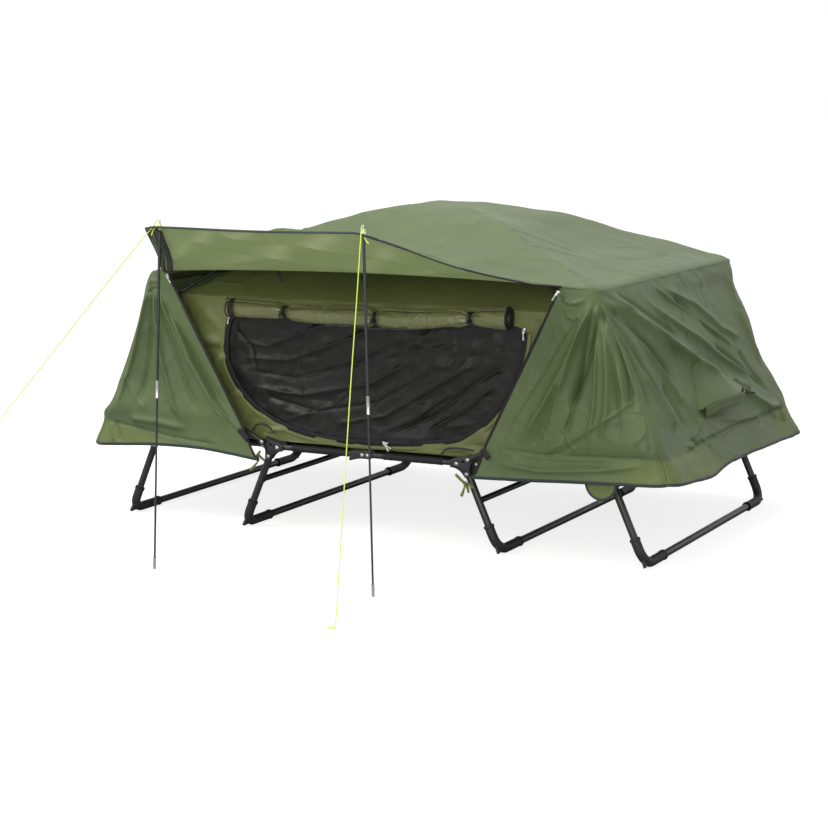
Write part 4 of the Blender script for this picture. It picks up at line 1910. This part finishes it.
def build_bed_cloth():
    sleeve_near, sleeve_far = 0.0645, 0.2715
    tongue_x, tongue_y = 0.4494, 0.5186
    for side_name, side in SIDES:
        lows, highs = sorted((side * sleeve_near, side * sleeve_far))
        parts = [sleeve("sleeve", (side * sleeve_near, depth * MID_LANE, RAIL_Z),
                        (side * sleeve_far, depth * MID_LANE, RAIL_Z), (0, 1, 0))
                 for depth in (-1, 1)]
        low, high = sorted((side * 0.0005, side * sleeve_far))
        parts.append(bed_panel("deck", (low, -MID_LANE + RAIL_R + 0.004),
                               (high, MID_LANE - RAIL_R - 0.004), 0.004, 81 + side))
        for depth in (-1, 1):
            a, b = sorted((depth * (MID_LANE - RAIL_R - 0.006), depth * (MID_LANE - 0.004)))
            corners = [(x, y, RAIL_Z + 0.0005) for y in (a, b) for x in (lows, highs)]
            parts.append(flat_panel("edge", corners, (0, 0, 1), BED, 20, 4, 0.0, 0))
        low, high = sorted((side * 0.2705, side * tongue_x))
        parts.append(bed_panel("tongue", (low, -tongue_y), (high, tongue_y), 0.003, 84 + side))
        made = settled(joined("bed_middle_cloth_" + side_name, parts))
        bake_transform(made)
        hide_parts("bed_middle")
        corner_x, corner_y = END_X - END_BEND_R, END_LANE - END_BEND_R
        gap = SADDLE_LENGTH / 2 + 0.0020
        parts = []
        for depth in (-1, 1):
            y = depth * END_LANE
            parts.append(sleeve("sleeve", (BED_SPLIT_X, y, RAIL_Z), (SADDLE[0] - gap, y, RAIL_Z),
                                (0, 1, 0)))
            parts.append(sleeve("sleeve", (SADDLE[0] + gap, y, RAIL_Z), (corner_x, y, RAIL_Z),
                                (0, 1, 0)))
        parts.append(sleeve("sleeve", (END_X, -corner_y, RAIL_Z), (END_X, corner_y, RAIL_Z),
                            (1, 0, 0)))
        parts.append(bed_panel("deck", (BED_SPLIT_X, -END_LANE + RAIL_R),
                               (corner_x, END_LANE - RAIL_R), 0.004, 91))
        parts.append(bed_panel("deck", (corner_x - 0.001, -corner_y),
                               (END_X - RAIL_R / 2, corner_y), 0.001, 92))
        made = settled(joined("bed_end_cloth_" + side_name, parts), side)
        attach(made, "end_" + side_name, "bed_cloth", "bed_end_" + side_name)


# Awning poles, fly zips and sewn trim

UPPER_R = 0.0040
LOWER_R = 0.0030


def build_pole(side_name):
    """An awning pole: its upper section with a spike, the ferrule, and the foot in its cap."""
    top = Vector((POLE_TOP_X[side_name], -GROMMET_Y, POLE_SHOULDER_Z))
    foot = Vector((POLE_FOOT_X[side_name], -GROMMET_Y, 0))
    down = (foot - top).normalized()

    def along(z):
        return top + down * ((z - top.z) / down.z)

    def section(name, start, profile, material, body, slot, *nodes, sides=32):
        piece = turned(name + side_name, start, profile, axis=down, sides=sides, material=material)
        attach(settled(piece), body + side_name, slot, *(node + side_name for node in nodes))

    rise = (along(SPIKE_TOP_Z) - top).length
    length = (along(FERRULE_Z + FERRULE_LENGTH - 0.010) - top).length
    section("pole_tube_", top,
            [(-0.001, UPPER_R - 0.0008), (0, UPPER_R), (length - 0.0005, UPPER_R),
             (length, UPPER_R - 0.0006)], BLACK, "awning_pole_", "black_tube", "pole_upper_")
    section("pole_spike_", top,
            [(-rise, 0.0009), (-rise + 0.0008, 0.0019), (-rise + 0.003, 0.0025),
             (-rise + 0.009, 0.0025), (-rise + 0.010, 0.0020), (-rise + 0.011, 0.0025),
             (-0.004, 0.0025), (-0.003, 0.0036), (-0.001, 0.0038), (-0.0006, 0.0034)],
            STEEL, "awning_pole_", "bare_steel", "pole_upper_", sides=24)
    section("pole_joint_", along(0.795),
            [(-0.0015, UPPER_R + 0.0001), (-0.0010, UPPER_R + 0.0004),
             (0.0010, UPPER_R + 0.0004), (0.0015, UPPER_R + 0.0001)],
            BLACK, "awning_pole_", "black_tube")
    start = along(FERRULE_Z + FERRULE_LENGTH)
    span = (along(FERRULE_Z) - start).length
    section("pole_collar_", start,
            [(0, UPPER_R + 0.0003), (0.0004, UPPER_R + 0.0010), (0.003, UPPER_R + 0.0011),
             (0.0035, UPPER_R + 0.0008), (span - 0.004, UPPER_R + 0.0008),
             (span - 0.0035, UPPER_R + 0.0011), (span - 0.0004, UPPER_R + 0.0010),
             (span, LOWER_R + 0.0004)], STEEL, "awning_pole_", "bare_steel", "pole_ferrule_")
    start = along(FERRULE_Z + 0.0002)
    cap = (along(0.036) - start).length
    end = (foot - start).length
    section("pole_foot_tube_", start, [(0, LOWER_R), (cap, LOWER_R)], BLACK, "pole_foot_",
            "black_tube", "pole_lower_")
    section("pole_shoe_", start,
            [(cap - 0.004, LOWER_R + 0.0002), (cap - 0.003, 0.0042), (cap + 0.004, 0.0046),
             (end - 0.004, 0.0047), (end - 0.0012, 0.0040), (end - 0.0004, 0.0020)],
            CLEAR, "pole_foot_", "black_tube", "pole_lower_")


def build_fly_zip(side_name, side, edge):
    """The zip down a front panel: tape, teeth, and the slider that rides on it."""
    front = np.array((0, -1, 0))
    band("fly_zip_tape_" + side_name, lifted(edge, front, 0.0010), front, WEBBING, 0.0095,
         EDGE_TAPE)
    teeth("fly_zip_teeth_" + side_name, lifted(edge, front, 0.0022), front, ZIP_PITCH)
    top, foot = Vector(edge[0]), Vector(edge[-1])
    run = (foot - top).normalized()
    place = top + run * 0.012 + Vector((0, -0.0045, 0))
    parts = slider_parts(place, run, (0, -1, 0), 0.85, ((1, 0.12 * side),))
    made = joined("fly_slider_" + side_name, parts)
    attach(settled(refinished(made, CHROME)), "slider_" + side_name, "zip_metal",
           "zip_slider_" + side_name)


def patch(name, points, towards, material, thickness=TAPE, bound=None):
    """A small piece of cloth over a grid of points, with a tape round its edge if it has one."""
    points = faced(np.asarray(points, float), towards)
    follow(cloth_solid(name, points, material, material, thickness))
    if bound:
        rim = np.concatenate([points[0, :], points[1:, -1], points[-1, -2::-1], points[-2:0:-1, 0]])
        band(name + "_tape", np.concatenate([rim, rim[:1]]), towards, bound, 0.006, EDGE_TAPE)


def strip(near, far, rows):
    """Rows of points between two lines of the same count."""
    near, far = np.asarray(near, float), np.asarray(far, float)
    share = np.linspace(0, 1, rows + 1)[:, None, None]
    return near[None] + (far - near)[None] * share


def build_awning_trim(grid):
    """The awning's bindings, zips, storm flap, corner patches and grommets."""
    up = np.array((0, 0, 1))
    left, right, front = grid[:, 0], grid[:, -1], grid[-1]
    band("awning_front_tape", front, (0, -1, 0.4), BINDING, 0.007, 0.0034)
    band("awning_left_tape", left, (-0.5, 0, 1), BINDING, 0.007, EDGE_TAPE)
    band("awning_corner_tape", right[-22:], (0.5, 0, 1), WEBBING, 0.014, EDGE_TAPE)
    band("awning_right_tape", right[:52], (0.5, 0, 1), WEBBING, 0.010, EDGE_TAPE)
    teeth("awning_left_teeth", lifted(left, up, -0.0024), (-0.2, 0, -1), 0.0040)
    teeth("awning_right_teeth", lifted(right, up, -0.0024), (0.2, 0, -1), 0.0040)
    line = left[::-4]
    t = np.linspace(0, 1, len(line))[:, None]
    width = 0.050 * (1 - 0.55 * t)
    out = line + np.array((-0.52, 0.02, -0.06)) * width
    middle = (line + out) / 2 + np.array((0, -0.004, 0.006)) * np.sin(12 * t)
    rows = [line, (line + middle) / 2 + (0, 0, 0.002), middle, (middle + out) / 2, out]
    patch("storm_flap", rows, (-0.4, -0.2, 1), FLY, bound=BINDING)
    tape = line + np.array((0.024, -0.004, -0.010))
    band("storm_flap_velcro", tape, (0.5, -1, -0.25), WEBBING, 0.022, 0.0040)
    spot = out[8:16]
    rows = strip(spot + (0.004, -0.004, 0.002), spot + (0.018, -0.004, 0.008), 2)
    patch("storm_flap_patch", rows, (-0.3, -0.8, 0.6), WEBBING)
    for side_name, corner in (("left", grid[-6:, :6]), ("right", grid[-6:, -6:])):
        patch("grommet_patch_" + side_name, corner + (0, 0, 0.0022), (0, 0, 1), WEBBING)
        patch("grommet_under_" + side_name, corner - (0, 0, 0.0022), (0, 0, -1), WEBBING)
        top = Vector((POLE_TOP_X[side_name], -GROMMET_Y, float(grid[-1, 0, 2]) - 0.001))
        eyelet = turned("grommet", top, [(-0.004, 0.0040), (-0.0042, 0.0075), (0.0042, 0.0075),
                                         (0.004, 0.0040)], axis=(0, 0, 1), sides=28, material=STEEL)
        follow(eyelet)


TIE_STRINGS = {
    "left": [[(-0.372, 0.268), (-0.382, 0.252), (-0.376, 0.238), (-0.386, 0.222), (-0.404, 0.204)],
             [(-0.380, 0.254), (-0.366, 0.246), (-0.352, 0.240)]],
    "right": [[(0.335, 0.250), (0.352, 0.238), (0.370, 0.224), (0.368, 0.204), (0.362, 0.186)],
              [(0.370, 0.224), (0.384, 0.222), (0.398, 0.214)],
              [(0.365, 0.230), (0.378, 0.212), (0.384, 0.198)]],
}


def build_small_trim():
    """Straps, tie strings, pockets, velcro and the hem's tab."""
    wall_y = -WALL_Y - 0.010
    for k, (x, z) in enumerate(((-0.287, 0.846), (0.020, 0.842))):
        line = [(x, -EAVE_Y + 0.004, z + 0.012), (x + 0.002, -EAVE_Y - 0.004, z),
                (x + 0.010, -EAVE_Y - 0.006, z - 0.014), (x + 0.016, -EAVE_Y - 0.004, z - 0.026)]
        band("eave_strap_%d" % k, smooth_route(line, 4), (0, -1, 0.2), WEBBING, 0.012, 0.0024)
    for name, line in (
            ("left", [(-0.432, 0.320), (-0.415, 0.343), (-0.380, 0.346), (-0.345, 0.322)]),
            ("right", [(0.262, 0.300), (0.285, 0.318), (0.330, 0.322), (0.372, 0.318)])):
        path = smooth_route([(x, wall_y, z) for x, z in line], 6)
        band("foot_flap_" + name, path, (0, -1, 0), BINDING, 0.006, EDGE_TAPE)
    for side_name, side in SIDES:
        x, z = np.meshgrid(np.linspace(-0.016, 0.016, 6), np.linspace(0.014, -0.016, 6),
                           indexing="ij")
        pocket = np.stack([x + side * 0.715, -WALL_Y - 0.004 + 0 * x, z + 0.745], axis=2)
        patch("pole_pocket_" + side_name, pocket, (0, -1, 0), WEBBING, 0.005)
    for name, a, b in (("left", (-0.436, 0.338), (-0.401, 0.305)),
                       ("right", (0.438, 0.341), (0.462, 0.313))):
        line = np.array([(a[0] + (b[0] - a[0]) * t, -0.626, a[1] + (b[1] - a[1]) * t)
                         for t in np.linspace(0, 1, 8)])
        band("velcro_" + name, line, (0, -1, 0), WEBBING, 0.018, 0.0024)
    angle = np.linspace(0, math.pi, 25)
    rows = np.linspace(0.02, 1, 8)[:, None]
    tab = np.stack([0.824 + 0.048 * rows * np.cos(angle), -0.616 + 0 * rows * angle,
                    0.268 - 0.050 * rows * np.sin(angle)], axis=2)
    tab_cloth = cloth_solid("hem_tab", faced(tab, (0, -1, 0)), FLY_UNDER, FLY_UNDER, TAPE)
    follow(tab_cloth)
    band("hem_tab_tape", tab[-1], (0, -1, 0), BINDING, 0.008, EDGE_TAPE)
    for name, lines in TIE_STRINGS.items():
        parts = []
        for line in lines:
            path = smooth_route([(x, -0.598 - 0.004 * k, z) for k, (x, z) in enumerate(line)], 5)
            turn = [(0.5 * math.sin(0.4 * k), -1, 0.3) for k in range(len(path))]
            parts.append(grown("string", BAND_TREE, path, turn, FLY_UNDER, Width=0.009,
                               Thickness=0.0018))
        follow(joined("tie_string_" + name, parts))
    build_vent()


HOOD_FOOT = places(-209, 433, -120, 450, 0, 458, 137, 458, 243, 433)


def on_end_panel(y, z, out):
    """Points lying off the right end panel by the distance out."""
    y, z = np.broadcast_arrays(np.asarray(y, float), np.asarray(z, float))
    cloth = END_PANELS["right"]
    x = np.empty(y.shape)
    for place in np.ndindex(y.shape):
        far = np.hypot(cloth[:, 1] - y[place], cloth[:, 2] - z[place])
        near = np.argpartition(far, 6)[:6]
        pull = 1 / (far[near] + 0.002)
        x[place] = (cloth[near, 0] * pull).sum() / pull.sum()
    return np.stack([x + out, y, z], axis=-1)


def build_vent():
    """The vent hood in the right end panel: a raised flap propped open over its slit."""
    u, v = unit_grid(40, 30)
    foot_y = HOOD_FOOT[0][0] + (HOOD_FOOT[-1][0] - HOOD_FOOT[0][0]) * u
    foot_z = line_at(HOOD_FOOT, foot_y)
    top_y, top_z = -0.078 + 0.020 * u, 0.602 - 0.006 * u
    y = top_y + (foot_y - top_y) * v
    z = top_z + (foot_z - top_z) * v + 0.012 * window(v) * u
    raised = 0.070 * np.sin(np.pi * np.clip(u * 1.15, 0, 1)) ** 0.8 * v ** 1.1 - 0.002
    raised += 0.008 * np.sin(9 * u + 3 * v) * window(u) * v
    points = on_end_panel(y, z, raised)
    foot = points[-1]
    follow(cloth_solid("vent_hood", faced(points, (1, 0, 0)), FLY, FLY_UNDER))
    flap = foot[2:31] + np.array((0.004, 0, -0.012))
    band("vent_flap", flap, (1, 0, -0.25), FLY, 0.040, 0.0070)
    slit = on_end_panel([0.100, 0.140, 0.190, 0.236], [0.444, 0.442, 0.436, 0.430], 0.007)
    band("vent_slit", slit, (1, 0, 0), WEBBING, 0.007, 0.004)
    tuck = on_end_panel([0.130, 0.170, 0.215, 0.250], [0.478, 0.474, 0.462, 0.446], 0.008)
    band("vent_tuck", tuck, (1, 0, 0.4), FLY, 0.026, 0.008)


# Cords, camera, floor and light

GUY_ROUTES = {
    "right": [(0.3476, -1.1718, 1.046), (0.3485, -1.180, 1.0455), (0.352, -1.193, 1.010),
              (0.363, -1.235, 0.870), (0.375, -1.283, 0.715), (0.387, -1.330, 0.560),
              (0.400, -1.377, 0.405), (0.413, -1.424, 0.250), (0.426, -1.470, 0.105),
              (0.434, -1.498, 0.020), (0.437, -1.509, 0.0016)],
    "left": [(-0.3364, -1.1690, 1.046), (-0.345, -1.1695, 1.0455), (-0.362, -1.171, 1.024),
             (-0.470, -1.180, 0.912), (-0.600, -1.186, 0.775), (-0.730, -1.191, 0.637),
             (-0.860, -1.197, 0.500), (-0.990, -1.203, 0.363), (-1.120, -1.208, 0.226),
             (-1.250, -1.213, 0.090), (-1.320, -1.217, 0.016), (-1.336, -1.218, 0.0016)],
}


# The knot's loose end on each side, and the small bight beside it, from the knot's top
GUY_TAILS = {"right": [(0.004, -0.006, -0.016), (0.010, -0.012, -0.022), (0.018, -0.016, -0.030),
                       (0.026, -0.018, -0.036)],
             "left": [(-0.004, -0.004, -0.010), (-0.014, -0.006, -0.014), (-0.020, -0.006, -0.022),
                      (-0.024, -0.008, -0.034)]}
GUY_BIGHT = [(-0.003, -0.005, -0.004), (0.006, -0.010, -0.006), (0.010, -0.008, -0.014),
             (0.002, -0.006, -0.016)]


def mapped_tube(name, path, sides=10):
    """A length of guy line whose map runs along it in metres and round it from 0 to 1."""
    shape = tube(name, path, GUY_R, GUY, sides=sides)
    layer = shape.data.uv_layers.new(name="UVMap")
    runs = [0.0]
    for a, b in zip(path, path[1:]):
        runs.append(runs[-1] + (Vector(b) - Vector(a)).length)
    for polygon in shape.data.polygons:
        around = [shape.data.loops[k].vertex_index % sides for k in polygon.loop_indices]
        wraps = max(around) - min(around) > 1 and len(around) == 4
        for k, loop in enumerate(polygon.loop_indices):
            vertex = shape.data.loops[loop].vertex_index
            turn = around[k] + (sides if wraps and around[k] == 0 else 0)
            layer.data[loop].uv = (runs[min(vertex // sides, len(runs) - 1)], turn / sides)
    return shape


def build_guy(side_name):
    """A guy line from its knot on the pole's spike down to its loop on the floor."""
    body = "awning_pole_" + side_name
    path = smooth_route(GUY_ROUTES[side_name], 3)
    line = mapped_tube("guy_line_" + side_name, path, 12)
    attach(settled(line), body, "guy_cord", "guy_" + side_name)
    top = Vector((POLE_TOP_X[side_name], -GROMMET_Y, SPIKE_TOP_Z - 0.013))
    wraps = []
    for k in range(33):
        angle = 2 * math.pi * k / 16
        wraps.append(top + Vector((0.0052 * math.cos(angle), 0.0052 * math.sin(angle),
                                   -0.0011 * k / 4)))
    parts = [mapped_tube("wrap", wraps)]
    for tail in (GUY_TAILS[side_name], GUY_BIGHT):
        parts.append(mapped_tube("tail", smooth_route([top + Vector(p) for p in tail], 3)))
    end = path[-1] + Vector((0, 0, 0.0016))
    loop = []
    for k in range(17):
        angle = 2 * math.pi * k / 16
        loop.append(end + Vector((-0.010 + 0.010 * math.cos(angle), 0.006 * math.sin(angle),
                                  0.0004 * math.sin(angle))))
    parts.append(mapped_tube("loop", loop))
    knots = settled(joined("guy_knots_" + side_name, parts))
    attach(knots, body, "guy_cord")


def build_stage():
    """The floor, the sky and the lamps."""
    floor = make_object("floor", [(-60, -60, 0), (60, -60, 0), (60, 60, 0), (-60, 60, 0)],
                        [(0, 1, 2, 3)])
    material, tree, shader, _ = start_material("pale_floor", 0.9, Specular_IOR_Level=0.1,
                                               Base_Color=(0.45, 0.45, 0.45, 1))
    glow = node(tree, "ShaderNodeEmission", Strength=0.0)
    lit = tree.nodes.new("ShaderNodeLightPath").outputs["Is Camera Ray"]
    tree.links.new(math_node(tree, "MULTIPLY", lit, FLOOR_GLOW), glow.inputs["Strength"])
    both = tree.nodes.new("ShaderNodeAddShader")
    tree.links.new(shader.outputs["BSDF"], both.inputs[0])
    tree.links.new(glow.outputs["Emission"], both.inputs[1])
    tree.links.new(both.outputs["Shader"], tree.nodes["Material Output"].inputs["Surface"])
    floor.data.materials.append(material)
    sky = bpy.data.worlds.new("studio")
    bpy.context.scene.world = sky
    sky.use_nodes = True
    tree = sky.node_tree
    paths = tree.nodes.new("ShaderNodeLightPath")
    seen = math_node(tree, "MAXIMUM", paths.outputs["Is Camera Ray"],
                     paths.outputs["Is Glossy Ray"])
    seen = math_node(tree, "MAXIMUM", seen, paths.outputs["Is Transmission Ray"])
    background = tree.nodes["Background"]
    background.inputs["Color"].default_value = (1, 1, 1, 1)
    level = node(tree, "ShaderNodeMapRange", {"Value": seen}, To_Min=SKY_ON_PIECES, To_Max=1.0)
    tree.links.new(level.outputs["Result"], background.inputs["Strength"])
    for name, place, aim, size, power, colour in LAMPS:
        lamp = bpy.data.lights.new(name, "AREA")
        lamp.shape = "RECTANGLE"
        lamp.size, lamp.size_y = size
        lamp.energy = power
        lamp.color = colour
        holder = linked(name, lamp)
        holder.location = world(place)
        holder.rotation_euler = (world(aim) - world(place)).to_track_quat("-Z", "Y").to_euler()


FLOOR_GLOW = 0.78
SKY_ON_PIECES = 0.62
LAMPS = [("key_light", (-2.5, -3.2, 4.2), (0.0, -0.3, 0.5), (3.0, 2.2), 150, (1, 1, 0.98)),
         ("top_light", (0.0, 0.2, 4.6), (0.0, 0.0, 1.0), (3.0, 3.0), 97, (1, 1, 0.97)),
         ("front_fill", (1.6, -5.2, 1.6), (0.0, -0.4, 0.6), (3.0, 2.0), 105, (1, 0.99, 0.96))]

CAMERA_AIM = (0.171, -0.558, 0.420)
CAMERA_DISTANCE = 6.171
CAMERA_AROUND = 28.29
CAMERA_ABOVE = 9.34
CAMERA_ROLL = -0.56
CAMERA_LENS = 86.35


def build_camera():
    """The camera that the photo was taken with, as solved from the part's own places."""
    around, above = math.radians(CAMERA_AROUND), math.radians(CAMERA_ABOVE)
    roll = math.radians(CAMERA_ROLL)
    back = Vector((math.sin(around) * math.cos(above), -math.cos(around) * math.cos(above),
                   math.sin(above)))
    right = Vector((math.cos(around), math.sin(around), 0))
    up = back.cross(right)
    turned_right = math.cos(roll) * right + math.sin(roll) * up
    turned_up = -math.sin(roll) * right + math.cos(roll) * up
    lens = bpy.data.cameras.new("photo_view")
    lens.lens = CAMERA_LENS
    lens.sensor_width = 36
    camera = linked("photo_view", lens)
    place = world(CAMERA_AIM) + back * CAMERA_DISTANCE
    camera.matrix_world = Matrix(((turned_right.x, turned_up.x, back.x, place.x),
                                  (turned_right.y, turned_up.y, back.y, place.y),
                                  (turned_right.z, turned_up.z, back.z, place.z),
                                  (0, 0, 0, 1)))
    bpy.context.scene.camera = camera


def build_all():
    build_camera()
    build_stage()
    bpy.context.scene.view_settings.view_transform = "Standard"
    for side_name, side in SIDES:
        build_guy(side_name)
        make_bow("tent_bow_" + side_name, side, "bow_" + side_name)
        build_front(side_name, side)
        build_end(side_name, side)
        build_pole(side_name)
    build_frame()
    build_inner_tent()
    build_roof_poles()
    build_bed_cloth()
    build_small_trim()
    build_roof()
    build_back()
    build_awning()


build_all()
